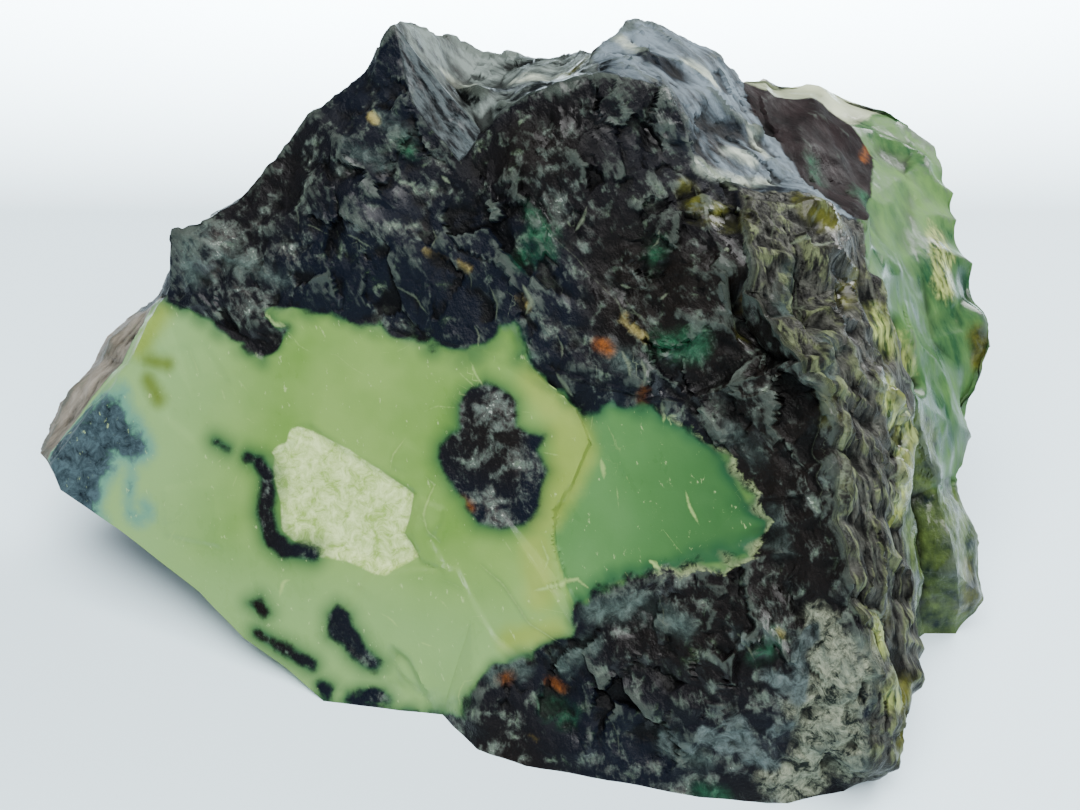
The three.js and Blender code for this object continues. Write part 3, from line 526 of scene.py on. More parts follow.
# %% Thin flakes and steps on the window: outline on the face, height in mm, softness of its edge
FLAKES = [
    # thin flake right of the scar, and the pale flake round the black patch
    ([(2, -2.5), (4.5, -3), (4.5, -4.5), (3.5, -6.5), (6, -9.5), (3, -9), (1.2, -6)], 0.35, 0.5),
    # the long shelf below it
    ([(7, -9), (10, -13), (12.5, -15.5), (17, -18), (6, -25), (-6, -18), (-2, -11)], 0.3, 0.5),
    # small hollow at the lower edge
    ([(1, -19), (3, -19.8), (6.5, -24.5), (3, -26), (1, -22)], -0.9, 1.0),
    # shallow shells at the left
    ([(-31, 8), (-26, 10), (-22, 6), (-25, -1), (-29, 1)], -0.18, 1.2),
    ([(-28, -7), (-22, -5), (-20, -12), (-27, -12)], 0.16, 0.8),
]
flake_height = np.zeros(len(shell))
for outline, height, soft in FLAKES:
    flake_height += height * smooth(depth_inside(outline, level, uphill) / soft + 0.5)
flake_height *= on_face
print("flakes and hollows, mm:", round(float(np.ptp(flake_height)), 2))

# %% Lines on the front face: half width, height of the step, paleness, and stops in the face's mm
FACE_LINES = [
    # thin flakes right of the scar, and the edge of the long shelf
    (0.21, 0.3, 0.9, (-1, 3.5), (-2, 1.6), (-2.1, 0.1)),
    (0.26, 0.35, 0.9, (1.8, 0), (3.1, -0.7), (2.7, -2.1), (2.5, -4.1), (3.1, -5.5), (4.8, -6.9)),
    (0.23, 0.3, 0.85, (9.3, -8.1), (12.3, -9.7), (14.2, -11.5), (15.8, -13.1), (20, -14.5)),
    # faint shells and the lower hollow
    (0.10, 0.12, 0.7, (-5, -12.8), (-3.1, -13.2), (-1.3, -14.1)),
    (0.10, 0.12, 0.7, (5.3, -10.4), (7.3, -10.8), (9.6, -11.5)),
    (0.12, 0.12, 0.75, (-28.2, -10.8), (-26.2, -10.1), (-24.9, -8.7), (-24.8, -7.5)),
    (0.17, 0.15, 0.8, (-28, 9.2), (-26.5, 7.2), (-25.7, 5.8)),
    (0.17, 0.5, 0.75, (1.1, -20.5), (2.4, -21.9), (5.8, -23.8)),
    # short dashes, from the left
    (0.15, 0, 0.85, (-24, 6.8), (-22.8, 6.5)), (0.15, 0, 0.85, (-22.9, 5.3), (-22.1, 4)),
    (0.17, 0, 0.9, (-21, 6.6), (-19.7, 5.5)), (0.15, 0, 0.9, (-19.2, 2.5), (-18.4, 2.2)),
    (0.15, 0, 0.8, (-22, -2.9), (-21.5, -2.4)), (0.19, 0, 0.75, (-19.8, -5.2), (-19.4, -3.8)),
    (0.17, 0, 0.7, (-26.7, -12.9), (-25.8, -11)), (0.17, 0, 0.7, (-25.1, -12.8), (-24.4, -11.1)),
    (0.42, 0.1, 0.85, (-12.5, -16), (-12.2, -14.3), (-11.5, -13.9)),
    (0.21, 0, 0.95, (-0.8, -15.4), (0.4, -15.7), (1.7, -16.6)),
    (0.19, 0, 0.9, (4.1, -17.6), (5.9, -17.8)), (0.15, 0, 0.85, (5.7, -12.6), (6.8, -13.4)),
    (0.15, 0, 0.8, (11.5, -5), (12.8, -6.3)), (0.19, 0, 0.85, (14, -5.8), (15.5, -7.2)),
    (0.27, 0.1, 0.9, (15.4, -4.2), (16.6, -6.2), (16.3, -7.5)),
    (0.17, 0, 0.9, (14.3, 4.8), (15.9, 4.8)),
    # hooks round the black patch
    (0.15, 0, 0.85, (0.7, 6.8), (2, 7.6), (4.3, 7.8)),
    (0.19, 0, 0.9, (3.9, 11.6), (5, 10.9), (6, 10.3)),
    (0.25, 0, 0.95, (5.2, 12.7), (5.7, 11.8), (6.3, 11.1), (6.9, 10.5)),
    (0.12, 0, 0.85, (-5.2, 12.2), (-3.9, 12.5)), (0.12, 0, 0.8, (-3.4, 12.6), (-2, 13.5)),
    (0.12, 0, 0.8, (-10.9, 11.2), (-10.1, 11.2), (-8.4, 10.2), (-6.5, 9.5)),
    (0.15, 0, 0.8, (4.1, 9.3), (5.1, 9.3)), (0.12, 0, 0.75, (11.2, 8.6), (12.7, 8.7)),
    # dashes, a vein, a spindle and two ovals on the panel
    (0.14, 0, 0.8, (19.1, 9.8), (19, 8)), (0.14, 0, 0.75, (20.8, 9.4), (21.7, 8.1), (22.5, 6.5)),
    (0.14, 0, 0.8, (22.7, 3), (23.5, 0.5)), (0.12, 0, 0.75, (23.6, 4.3), (24.2, 3.3)),
    (0.10, 0, 0.3, (20.4, 5.7), (22.6, 7), (24.8, 8.1)),
    (0.33, 0.12, 1, (30.1, 3.9), (30.8, 2.3), (32, 0.6)),
    (0.5, 0.1, 0.7, (20.6, 5.4), (21, 4.5), (21.3, 3.4)),
    (0.47, 0.2, 1, (27.4, -4.1), (28.1, -4.3), (28.6, -4.9)),
    # cream flakes at the tip of the shelf, at the foot and in the inlet
    (0.42, 0.3, 0.9, (15.6, -9.7), (18, -8.7), (20.3, -7.8), (21.7, -8.4)),
    (0.19, 0.1, 0.9, (9.5, -23.6), (9.4, -22), (10, -20.6), (11.1, -20.2)),
    (0.42, 0.3, 1, (-19.2, 14.8), (-17.8, 13.9), (-16.3, 13.6)),
    (0.17, 0, 0.8, (-16.1, 12.9), (-14.5, 11.5), (-13, 11)),
]
print(len(FACE_LINES), "lines on the face")

# %% Lines elsewhere, with stops in space
SPACE_LINES = [
    # thin hooked flakes on the black
    (0.17, 0.25, 0.6, (-22.7, 6.1, 44.7), (-22.3, 5.4, 44), (-22.4, 4.9, 43.1)),
    (0.15, 0.25, 0.6, (-17.7, 5, 45.5), (-16.6, 3.7, 44), (-16.4, 3.2, 43.3)),
    (0.12, 0, 0.5, (-18.1, 3.5, 43.2), (-17.5, 2.4, 41.8)),
    (0.21, 0.2, 0.8, (-16.3, 2.4, 42.2), (-14.8, 1.7, 41.9), (-13.3, 0.9, 41.3)),
    (0.17, 0.2, 0.7, (-15.2, 1.3, 41.1), (-14, 0.8, 40.9)),
    (0.15, 0, 0.55, (-21.7, 4.8, 43.4), (-20.3, 4.1, 43.1), (-18.7, 3.3, 42.5)),
    (0.31, 0.35, 0.6, (-11.3, -1.2, 38.8), (-9.3, -2.1, 38.4), (-7.6, -3.6, 36.9)),
    (0.25, 0.35, 0.65, (-7.3, 1.3, 44.2), (-6.8, 0.3, 43.4), (-7.4, -0.4, 42.1)),
    (0.19, 0.3, 0.7, (-3.5, -2.2, 41.4), (-3.1, -2.8, 40.7), (-3.3, -3.3, 39.8)),
    (0.33, 0.45, 0.75, (-1.1, -3.9, 40.1), (-0.3, -5, 38.7), (-0.6, -5.9, 37)),
    (0.42, 0.4, 0.7, (2.2, -4.6, 40.7), (3.2, -5.8, 39.1), (2.3, -6.4, 37.7)),
    # the long crack down from the emerald patch
    (0.10, -0.3, 0.55, (2.3, 0.3, 48.6), (5.4, -2.5, 45.8), (9.1, -5.1, 43), (12.3, -7.8, 40.6),
     (14.4, -9.8, 38.9)),
    # flecks below the ridge
    (0.42, 0.2, 0.8, (-6.3, 4.4, 48.6), (-5.5, 3.9, 48.2)),
    (0.31, 0.2, 0.7, (-2.6, 5.8, 51.3), (-2.2, 5.3, 51)),
    (0.37, 0.3, 0.75, (8.9, -1.3, 48.9), (8.5, -1.9, 47.8), (7.7, -2.4, 46.8)),
    (0.25, 0.2, 0.7, (6.6, -1.6, 47.5), (7.2, -2.1, 47.1)),
    (0.27, 0.3, 0.7, (-2.8, -5.4, 36.5), (-2.3, -6.2, 35.5), (-2.4, -6.9, 34.4)),
    (0.23, 0.3, 0.7, (5.8, -8.1, 36.7), (6.3, -8.9, 35.9), (6.2, -9.6, 34.8)),
    (0.21, 0.3, 0.6, (11.9, -7, 41.4), (12.5, -8.3, 39.9), (13.4, -9.4, 38.9)),
    (0.19, 0.2, 0.6, (12.8, -7.5, 41.2), (13.8, -8.7, 40.1), (15.1, -9.6, 39.5)),
    (0.31, 0.2, 0.85, (12.2, -6.3, 42.5), (13.2, -6.8, 42.4)),
    (0.21, 0.2, 0.8, (15.4, -5, 45.9), (16, -4.7, 46.6), (16.4, -4.2, 47.5)),
    (0.31, 0.2, 0.75, (16.9, -8.4, 42.2), (16.1, -8.6, 41.5)),
    # pearly drops along the top of the window
    (0.52, 0.5, 0.75, (5.7, -10.2, 33.7), (6.7, -10.9, 32.8), (7.5, -11.6, 31.8)),
    (0.42, 0.4, 0.7, (12.2, -10.6, 36.5), (13, -11.6, 35.4), (13.2, -12.4, 34.2)),
    (0.35, 0.4, 0.7, (14.2, -11.5, 36.1), (14.6, -12.3, 35.1), (14.5, -13, 33.9)),
    (0.42, 0.4, 0.75, (16.6, -14.1, 33.2), (17, -14.8, 32.2), (16.9, -15.3, 31.3)),
    # edges of the columns at the right
    (0.17, 0.5, 0.6, (24.9, 1.1, 49.3), (25, -1.7, 48.6), (24.3, -5.7, 47.8), (24.7, -10.2, 44.7),
     (24.5, -10.2, 41.2)),
    (0.15, 0.4, 0.55, (27.3, -1, 48.2), (27.4, -4.2, 47.3), (26.9, -7, 46.3)),
    (0.27, 0.5, 0.85, (28.8, -5.5, 46.3), (31.5, -4.9, 45.6), (34.5, -3.3, 45.1)),
    (0.19, 0.4, 0.6, (20, 0.3, 50.4), (20.5, -1.3, 49), (21.2, -5.7, 47.6)),
    (0.31, 0.4, 0.85, (19.9, 2.2, 53), (21.8, 2.4, 51.6), (23.4, 1.6, 50.2), (25.2, 0.6, 49.1)),
    (0.27, 0.2, 0.85, (22, -7.4, 45.9), (22.8, -7.2, 46.4)),
    (0.19, 0.3, 0.6, (30.8, -7.7, 44.2), (31.2, -9.3, 43), (30.8, -11.5, 41.8), (29.7, -13.4, 41.3)),
    # ribs of the flank, from top to foot
    (0.27, 0.6, 0.9, (34.8, -15, 36.2), (37.3, -13.8, 33.2), (39.6, -12.5, 29.8), (40.4, -13.3, 27),
     (38.4, -18.4, 25.9), (38.6, -19.4, 24)),
    (0.19, 0.4, 0.7, (36.6, -13.7, 34.5), (38.4, -13.1, 31.6), (40, -12.9, 28.3)),
    (0.17, 0.4, 0.6, (31.8, -12.7, 40.5), (31.9, -17.7, 37.8), (32.6, -21.1, 34.2),
     (32.8, -25.4, 29), (33, -29.2, 24.7)),
    (0.15, 0.4, 0.55, (29.9, -16.7, 39.5), (30.5, -20.1, 34.8), (31, -23.7, 30.2),
     (31.3, -27.3, 25.6)),
    (0.21, 0.4, 0.8, (32.3, -20.7, 35.2), (32.9, -22, 32.5), (32.3, -24.4, 30.7),
     (32.7, -26.1, 28.4)),
    (0.15, 0.4, 0.55, (34.7, -20.3, 31.3), (35.4, -23, 27.1), (35.5, -26.2, 23.4),
     (36.4, -28, 19.7)),
    (0.17, 0.4, 0.6, (36.9, -22.9, 24.5), (37.6, -24.8, 20.9), (39.5, -25.7, 16.3), (41, -27, 12)),
    (0.17, 0.4, 0.6, (42.1, -9.1, 28.3), (44.9, -7.3, 22.9), (46.9, -8.1, 19.4), (48, -9.2, 16.1)),
    (0.17, 0.4, 0.65, (44.3, -9.5, 16.3), (42.3, -16.4, 16.4), (42.9, -19.8, 13.7)),
    # rims of the lens-shaped hollows on the side
    (0.19, 0.4, 0.85, (38.3, -2.4, 39.4), (39.1, -4, 37.4), (41.1, -5.2, 33.8), (42, -6.9, 30.8),
     (44.2, -5.2, 28.3), (45.7, -2.1, 28.3), (44.9, -0.8, 31)),
    (0.15, 0.4, 0.8, (43.9, 2.5, 34.8), (44.5, -0.4, 32.1), (44.7, -3.5, 28.9)),
    (0.17, 0.3, 0.8, (48.5, 13.8, 36), (48.9, 10.6, 33.9), (50.7, 7.8, 30.3)),
    # pale streaks on the apron, and the rim of the pocket in the crust
    (0.27, 0.2, 0.6, (22.5, -29.2, 15.9), (23.3, -29.9, 15.2), (24.4, -30.9, 13.9)),
    (0.15, 0.2, 0.5, (10.9, -30.6, 5.9), (11.9, -32, 4.1), (12.1, -33.6, 1.9)),
    (0.12, 0.1, 0.5, (15.7, -24.9, 17), (16.4, -26.4, 15.6), (16.9, -28.5, 13.4)),
    (0.10, 0.1, 0.5, (20.1, -32.6, 8.4), (21.6, -33.5, 7.8), (22.7, -34.2, 7.1)),
    (0.10, 0.1, 0.45, (15.4, -33.2, 4), (17.4, -34.5, 3), (19.2, -35.7, 2)),
    (0.31, 0.4, 0.9, (35.6, -30.1, 18.9), (37.2, -28.9, 17.2), (38.5, -28.4, 15)),
    (0.21, 0.3, 0.8, (37.5, -31.4, 14.2), (36, -34, 14.5), (36.4, -34.7, 13)),
]
print(len(SPACE_LINES), "lines elsewhere")

# %% Signed distance to every line
# A plain distance has a sharp valley on the line, which a mesh of half-millimetre triangles
# can't carry. A signed one runs straight through zero, so that it stays exact between points.


def follow_line(p, normal, stops):
    """Distance to a line through stops, the same with a sign, and the share run along the line.

    The signed one is the gap's part across the run, in the surface: (run x gap) . normal, plus on
    the left of the way from the first stop to the last."""
    runs = np.diff(stops, axis=0)
    lengths = np.linalg.norm(runs, axis=1)
    nearest, side, along = np.full(len(p), 1e9), np.zeros(len(p)), np.zeros(len(p))
    for start, run, length, done in zip(stops, runs, lengths, np.cumsum(lengths) - lengths):
        share = np.clip((p - start) @ run / length ** 2, 0, 1)
        gap = p - start - share[:, None] * run
        distance = np.linalg.norm(gap, axis=1)
        closer = distance < nearest
        nearest = np.minimum(nearest, distance)
        side = np.where(closer, np.sum(np.cross(run / length, gap) * normal, axis=1), side)
        along = np.where(closer, done + share * length, along)
    return nearest, side, along / lengths.sum()


# how far in mm the step beside a line runs out into the surface round it
REACH = 3.0
line_gap, line_lift = np.full(len(shell), 1e9), np.zeros(len(shell))
line = np.tile([99.0, 0.0, 0.0], (len(shell), 1))
for half_width, step, pale, *stops in FACE_LINES + SPACE_LINES:
    stops = np.array(stops, float)
    if stops.shape[1] == 2:
        stops = FACE_POINT + stops @ np.stack([FACE_LEVEL, FACE_UPHILL])
    middle = stops.mean(axis=0)
    radius = np.linalg.norm(stops - middle, axis=1).max() + REACH
    near = np.flatnonzero(np.linalg.norm(shell - middle, axis=1) < radius)
    gap, side, along_line = follow_line(shell[near], out[near], stops)
    taper = np.sqrt(4 * along_line * (1 - along_line))
    line_lift[near] += step * taper * smooth(0.5 + side / 0.6) * smooth(1 - gap / REACH)
    mine = gap < line_gap[near]
    line_gap[near] = np.minimum(line_gap[near], gap)
    values = np.stack([side, half_width * taper, np.full(len(near), pale)], axis=1)
    line[near[mine]] = values[mine]
print("points close to a line:", int((line_gap < 0.5).sum()))

# %% The skin's points
dark_rough = np.clip(zone["front"] + zone["apron"] + 0.8 * zone["back"] + 0.7 * zone["under"]
                     + 0.5 * zone["dip"] + 0.5 * zone["lobe"] + 0.4 * zone["step"], 0, 1)
dark_rough *= 1 - window
streak = np.clip(zone["flank"] + 0.8 * zone["plate"] + 0.6 * zone["end"], 0, 1)
# the same place, bent by a millimetre or two, so that no chip has a straight side
bent = flow + np.stack([field(*(shell.T / 4), seed) for seed in (62, 63, 64)], axis=1) * 1.3
chips, chip_edge = scales(bent[:, 0] / 3.6, bent[:, 1] / 3.6, bent[:, 2] / 6.5, 65)
small_chips, small_edge = scales(bent[:, 0] / 1.5, bent[:, 1] / 1.5, bent[:, 2] / 2.6, 71)
splinters = 1 - 2 * np.abs(field(bent[:, 0] / 1.3, bent[:, 1] / 1.3, bent[:, 2] / 9, 81))
splinters += 0.5 - np.abs(field(bent[:, 0] / 0.6, bent[:, 1] / 0.6, bent[:, 2] / 4, 83))
grain = field(*(shell.T / 0.7), 91)
ripples = np.sin(np.linalg.norm(on_plane - (-10, 40), axis=1) * 1.1) * field(*(shell.T / 8), 95)

# deep steps only in places; elsewhere the break is grainy, with lumps in three sizes;
# the number in front of each field is its height in mm
steps = dark_rough * (0.2 + 0.8 * smooth(0.3 + 1.6 * field(*(shell.T / 9), 66)))
lumps = (field(*(bent.T / 2.8), 67) + 0.55 * field(*(bent.T / 1.3), 68)
         + 0.3 * field(*(bent.T / 0.6), 69))
fine_height = 0.85 * steps * chips + 0.22 * steps * small_chips + 0.3 * dark_rough * lumps
fine_height += 0.08 * (dark_rough + streak) * grain
uneven = 0.3 + 0.7 * smooth(0.5 + 1.5 * field(x / 7, y / 7, z / 12, 85))
fine_height += (0.45 * uneven * zone["flank"] + 0.12 * zone["plate"] + 0.2 * zone["end"]
                + 0.15 * zone["slope"]) * splinters
fine_height += 0.3 * zone["slope"] * small_chips
fine_height += 0.05 * window * ripples + flake_height + line_lift
skin = coarse + out * (fine_height * smooth(z / FOOT_FADE))[:, None]
skin[:, 2] = np.where(z == 0, 0, np.maximum(skin[:, 2], 0))
print("skin's size, mm:", np.round(np.ptp(skin, axis=0), 1))

# %% How far each point stands out of the surface round it: for painted light on crests, painted shade in hollows
CREST_ROUNDS, SWELL_ROUNDS = 10, 60
averaged = np.stack([spread(skin[:, axis], CREST_ROUNDS) for axis in range(3)], axis=1)
wide = np.stack([spread(averaged[:, axis], SWELL_ROUNDS) for axis in range(3)], axis=1)
# the net is coarser on the back, the back block and below, where the same rounds reach further
coarse_net = zone["back"] + zone["under"] + zone["block"]
close = smooth(z / 4 - 0.2) * (1 - 0.85 * smooth(2 * coarse_net))
crest = np.sum((skin - averaged) * out, axis=1) * close
swell = np.sum((averaged - wide) * out, axis=1) * close
print("crests and swells, mm:", np.round(np.percentile(crest, (2, 98)), 3),
      np.round(np.percentile(swell, (2, 98)), 3))

# %% The stone's mesh
mesh = bpy.data.meshes.new("serpentine_skin")
mesh.from_pydata(skin / 1000, [], triangles)
mesh.shade_smooth()
mesh.set_sharp_from_angle(angle=np.radians(40))
stone = bpy.data.objects.new("serpentine_skin", mesh)
bpy.context.scene.collection.objects.link(stone)
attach(stone, "root")
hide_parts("stone")
print(len(mesh.polygons), "faces in", stone.name)

# %% [markdown]
# ## Where the colours lie
# The colours follow the rock: green where the serpentine is pure, black where it is full of
# magnetite, grey where a crust of talc and chlorite clings to it. Each colour's field is a
# distance in millimetres, plus inside and minus outside, from listed outlines and strokes.

# %% Strokes on the front face, in its own mm: radius, then stops
BLACK_PATCHES = [
    [(5, 9.5), (7, 11), (9, 10.5), (10.5, 9.5), (11, 7), (12.5, 6.5), (14, 6.5), (13.5, 5),
     (15, 3), (14.5, 1), (14.5, -1.5), (13.5, -3), (11, -4), (8.5, -4), (7, -2.5), (6.5, -1.5),
     (5.5, -1), (4.2, 0.5), (3, 2), (3, 3.5), (4, 5), (4.8, 5.6), (4.6, 7), (4.4, 8)],
    [(-16, -17.5), (-14.7, -16.6), (-13.4, -18), (-14, -18.7)],
    [(-6.5, -16.8), (-5.6, -15.7), (-4.1, -16.3), (-3.8, -17.2), (-2.7, -18.3), (-1.8, -19.5),
     (0.1, -20.7), (-0.4, -21.9), (-1.8, -21.8), (-3.4, -20.8), (-4.5, -19.7), (-6.1, -19.1)],
]
FACE_STROKES = dict(
    black=[
        (0.5, (-18.5, -1.6), (-17.1, -1.8)), (0.75, (-17, -2), (-15.9, -3.1), (-15.6, -5)),
        (0.9, (-15.5, -5), (-15.6, -7.4)), (1.0, (-15.4, -7.4), (-14.4, -9.7), (-12.5, -10.7)),
        (0.8, (-12.5, -10.7), (-9.3, -10.6)), (0.35, (-22.5, -0.6), (-21, -1.1)),
        (0.5, (-14.5, -20.6), (-11.8, -21.5)), (0.65, (-11.8, -21.5), (-7.7, -22.7)),
        (0.8, (-5.9, -25), (-5.3, -25.2)), (0.7, (-1.3, -24.9), (1, -24.6)),
        (0.6, (-2.9, -25.6), (0.6, -25.9))],
    tip=[
        (0.5, (-32.4, -5), (-32.2, -7.3), (-31.9, -10.2), (-30.9, -11)),
        (0.5, (-30.9, -11), (-29.6, -10.3), (-29.5, -9.4), (-30.3, -9.1))],
    yellow=[(2.4, (16.5, 8), (17.5, 5.5), (16.5, 2), (15, -1.5)), (1.6, (15, -5), (16.5, -10)),
            (1.5, (12, 12), (14.5, 9.5)), (1.2, (14, -15.2), (18.5, -13.2)),
            (1.2, (-31.8, 12.5), (-33.6, 8))],
    stain=[(0.8, (-32.2, 6.8), (-30, 6.8)), (0.9, (-32, 4.7), (-30.2, 2.8))],
    rust=[(0.45, (6.2, -1.7), (7.4, -2.4)), (0.5, (-9.4, -24.2), (-7.4, -25.4))],
)


def deepest(strokes, p):
    """How deep each point lies in the deepest stroke, in mm: radius less distance to its line."""
    return np.max([radius - line_distance(p, *stops) for radius, *stops in strokes], axis=0)


patches = np.max([depth_inside(outline, level, uphill) for outline in BLACK_PATCHES], axis=0)
patches = np.maximum(patches, deepest(FACE_STROKES["black"], on_plane))
# what is painted on the face ends where the stone leaves its plane by more than this, in mm
FACE_DEPTH = 1.8
off_plane = 20 * smooth((np.abs(proud) - FACE_DEPTH) / 3)
print("points in the black patches:", int(((patches > 0) & (on_face > 0.5)).sum()))

# %% Strokes in space, in mm: radius, then stops
STROKES = dict(
    emerald=[
        (0.9, (3.2, -0.6, 47.6), (5.4, -2.6, 45.5)), (1.2, (3.4, -2.2, 45.4), (4.6, -3, 44.4)),
        (1.0, (4, -3.1, 44.1), (1.7, -3.2, 42.8)), (1.6, (16.6, -11.4, 37.7), (19.4, -12, 37.9)),
        (0.9, (-9.8, 6.6, 50.8), (-10.3, 7.4, 52.1)), (0.9, (1.4, -7.2, 35.8), (1.9, -8.5, 34.1)),
        (1.0, (24.4, -30.6, 14.4), (26.4, -30.2, 16)), (1.0, (20.2, -36.8, 0.6), (22.2, -37.2, 0.4)),
        (1.0, (15.6, -5.5, 45.4), (16, -5, 46)), (1.1, (33.9, 12.2, 46.1), (34.6, 10.5, 45.5)),
        (1.2, (39.7, 11.5, 43), (40.5, 9, 42)), (1.2, (5, -29, 5), (6.5, -29.5, 4.5))],
    rust=[
        (0.9, (10.2, -9.8, 36.8), (11, -10.2, 36.4)), (0.5, (14.6, -13.3, 33.6), (14.8, -13.8, 32.8)),
        (0.6, (42.3, 21.5, 43.8), (41.2, 19, 43.7)), (0.6, (37.9, -30, 14.8), (39, -30, 12.8)),
        (0.7, (0.3, -26.4, 6.1), (1, -26.5, 6)), (0.6, (5.1, -27.8, 6.6), (6, -28.2, 6.4))],
    ochre=[
        (0.4, (-7.6, -0.4, 41.9), (-5.9, -1.1, 41.8)), (0.4, (-4.4, -1.7, 41.7), (-3.4, -2.2, 41.6)),
        (0.35, (-13.6, 9, 53.3), (-14.3, 9.7, 53.7)), (0.3, (3.3, -30.6, 2.5), (3.6, -30.8, 2.3)),
        (0.4, (2, -5.2, 39.6), (2.6, -5.9, 38.6)), (0.35, (26.8, -30, 16.4), (27.1, -30, 16.3)),
        (0.3, (12.5, -8.5, 39.7), (14.6, -10.5, 38)), (0.6, (25, -9.5, 43.5), (25.5, -10, 42.5))],
    olive=[
        (2.0, (22.5, -3, 49), (23.5, -4.5, 46.5)), (2.4, (31.5, 0.3, 46.8), (33, 0, 45.5)),
        (1.6, (35, -6.5, 40.5), (36.5, -3.5, 41)), (1.8, (38, -28.5, 17), (38.5, -31.5, 12.5)),
        (2.6, (41, -34.5, 5), (40.5, -31, 8.5)), (1.8, (54, 7, 27), (53.5, 6.5, 24.5)),
        (2.2, (52, -12, 8), (51.5, -12.5, 5)), (1.3, (31, -19.5, 36.5), (31.5, -20, 35)),
        (1.6, (19.5, -1, 50.5), (20.5, -3, 48)), (2.0, (7, 14.5, 56.2), (7.5, 15.5, 56.2)),
        (1.0, (24, -12, 39.5), (24.5, -11.5, 39)), (1.8, (40, -33, 10), (41, -33, 8))],
    # clear green that comes through on the back
    jade=[
        (6.5, (52, 22, 22), (46, 32, 32)), (5, (30, 37.5, 30), (22, 37, 16)),
        (4.5, (-18, 28, 32), (-31, 19, 22)), (3.5, (2, 34, 12), (10, 35, 6))],
    # dark and pale patches on the slope behind the ridge
    navy=[
        (1.8, (15.6, 13, 57.4), (18.2, 13, 56.6)), (1.2, (22, 8, 53.2), (25, 10, 51.5)),
        (1.0, (27, 13, 50.3), (27.5, 10, 49.8)), (1.4, (19, 4, 54), (21, 3, 52.4)),
        (1.2, (0, 24, 51.5), (4, 26, 50.5)), (1.0, (26.5, 3, 49), (29, 3, 48.4))],
    pale=[
        (0.8, (12.6, 18.5, 57.6), (14.2, 14.5, 58)), (1.1, (20, 16.5, 55.6), (22.5, 15.8, 54)),
        (0.9, (20.6, 1.6, 52.1), (24.6, 2.4, 49.6), (28.5, 5, 48)),
        (0.8, (26, 14.2, 50.8), (28, 9, 49)), (1.3, (-6.9, 17, 55), (-4, 20, 52.6)),
        (1.0, (1, 18.6, 53.6), (5, 14.5, 55.6)), (0.9, (24, 6, 51.5), (27, 6.5, 49.8))],
    lime=[
        (1.9, (38.3, -12.5, 32.5), (39.7, -13.3, 28.6), (40.8, -14.7, 24.5), (39.9, -17.7, 22.9)),
        (1.0, (38.5, -22, 21.5), (39.5, -18, 22.8)), (1.7, (39, -5.5, 37), (40.5, -6.5, 34.5)),
        (1.6, (43.5, -2.6, 33), (45, -3.2, 29.5)), (1.8, (50, 14, 36), (50.5, 9, 33)),
        (1.4, (36, -31.5, 17.5), (36.5, -31, 17)), (1.2, (37, -33.5, 12), (38, -33, 10.5))],
    crust=[
        (1.9, (30.5, -31.3, 18.6), (31.5, -33.5, 15.6), (32, -35.2, 11.9)),
        (2.9, (32, -35.2, 11.9), (31.8, -36.6, 7), (30.4, -37, 2.2)),
        (1.8, (33.6, -36.3, 9.6), (34.9, -37.3, 4.2)), (1.6, (27.1, -37, 2.6), (30.2, -36.9, 2.2)),
        (1.3, (28.8, -34.5, 11.1), (30, -34, 13)), (1.5, (33.7, -35.1, 13.2), (34.5, -33.5, 16))],
    lichen=[
        (0.9, (20.1, -33.7, 6.4), (22.3, -34.9, 5.6)), (0.9, (22.3, -34.9, 5.6), (23.4, -34.4, 7.2)),
        (1.0, (23, -33.8, 8.1), (23.7, -34.9, 6.6), (25, -35.6, 5.4)),
        (0.8, (26.1, -32, 13), (27.2, -32.7, 12.2)), (0.9, (28.2, -31.5, 15), (29.8, -31.2, 17.8)),
        (1.0, (28.6, -32.3, 14.4), (28.4, -34, 12)), (0.6, (24.5, -36.1, 4.7), (27, -36.6, 4.6)),
        (0.5, (19.2, -34.3, 4.5), (16.6, -33.4, 4.4)), (0.7, (26.4, -35.4, 8.4), (28, -35.6, 9)),
        (0.5, (22.6, -29.4, 15.8), (23.4, -30, 15))],
    smear=[
        (1.4, (23.5, -17, 31.5), (26, -19, 29)), (1.3, (13, -12, 35.5), (11.5, -10.5, 36.2)),
        (1.2, (28, -12, 42.5), (29.5, -8, 44.8)), (1.4, (9.2, -24.5, 13.6), (14.2, -25.5, 15.4)),
        (1.3, (14.2, -25.5, 15.4), (18.1, -27.9, 14.9)), (1.3, (9.1, -26.6, 10.9), (6.1, -26.9, 8.4)),
        (1.4, (1.9, -26.3, 7), (-2.3, -25.1, 6.6)), (1.2, (16.2, -33.2, 4.7), (20.2, -35.3, 3.4)),
        (1.8, (-33, 8, 39), (-34, 6, 36)), (1.4, (-30, 5, 38.5), (-24, 3, 37.5)),
        (1.2, (31, -18, 37.5), (32, -14, 39)), (1.0, (26, -24, 26), (27, -26, 23.5)),
        (1.2, (-12.5, 9.5, 53), (-10, 8, 52.5)), (1.0, (-16, 8, 50), (-13, 6.5, 49))],
)
stroke_depth = {name: deepest(strokes, shell) for name, strokes in STROKES.items()}
print({name: int((depth > 0).sum()) for name, depth in stroke_depth.items()})

# %% Every field becomes an attribute of the mesh
# the zones that have a layer of their own; a share of 0 to 1 becomes -4 to 4 mm of depth
PAINTED_ZONES = ("end", "lobe", "side", "block", "slope", "dip", "step", "plate", "flank")
FRAY_ROUNDS, FRAY_MM = 30, 8
# a rim is the edge of a chip that stands proud; it gets painted light, paler as a thin edge lit
# through would be
rims = np.maximum(smooth(1 - chip_edge / 0.08) * smooth(chips * 2.5),
                  0.7 * smooth(1 - small_edge / 0.16) * smooth(small_chips * 2.5))
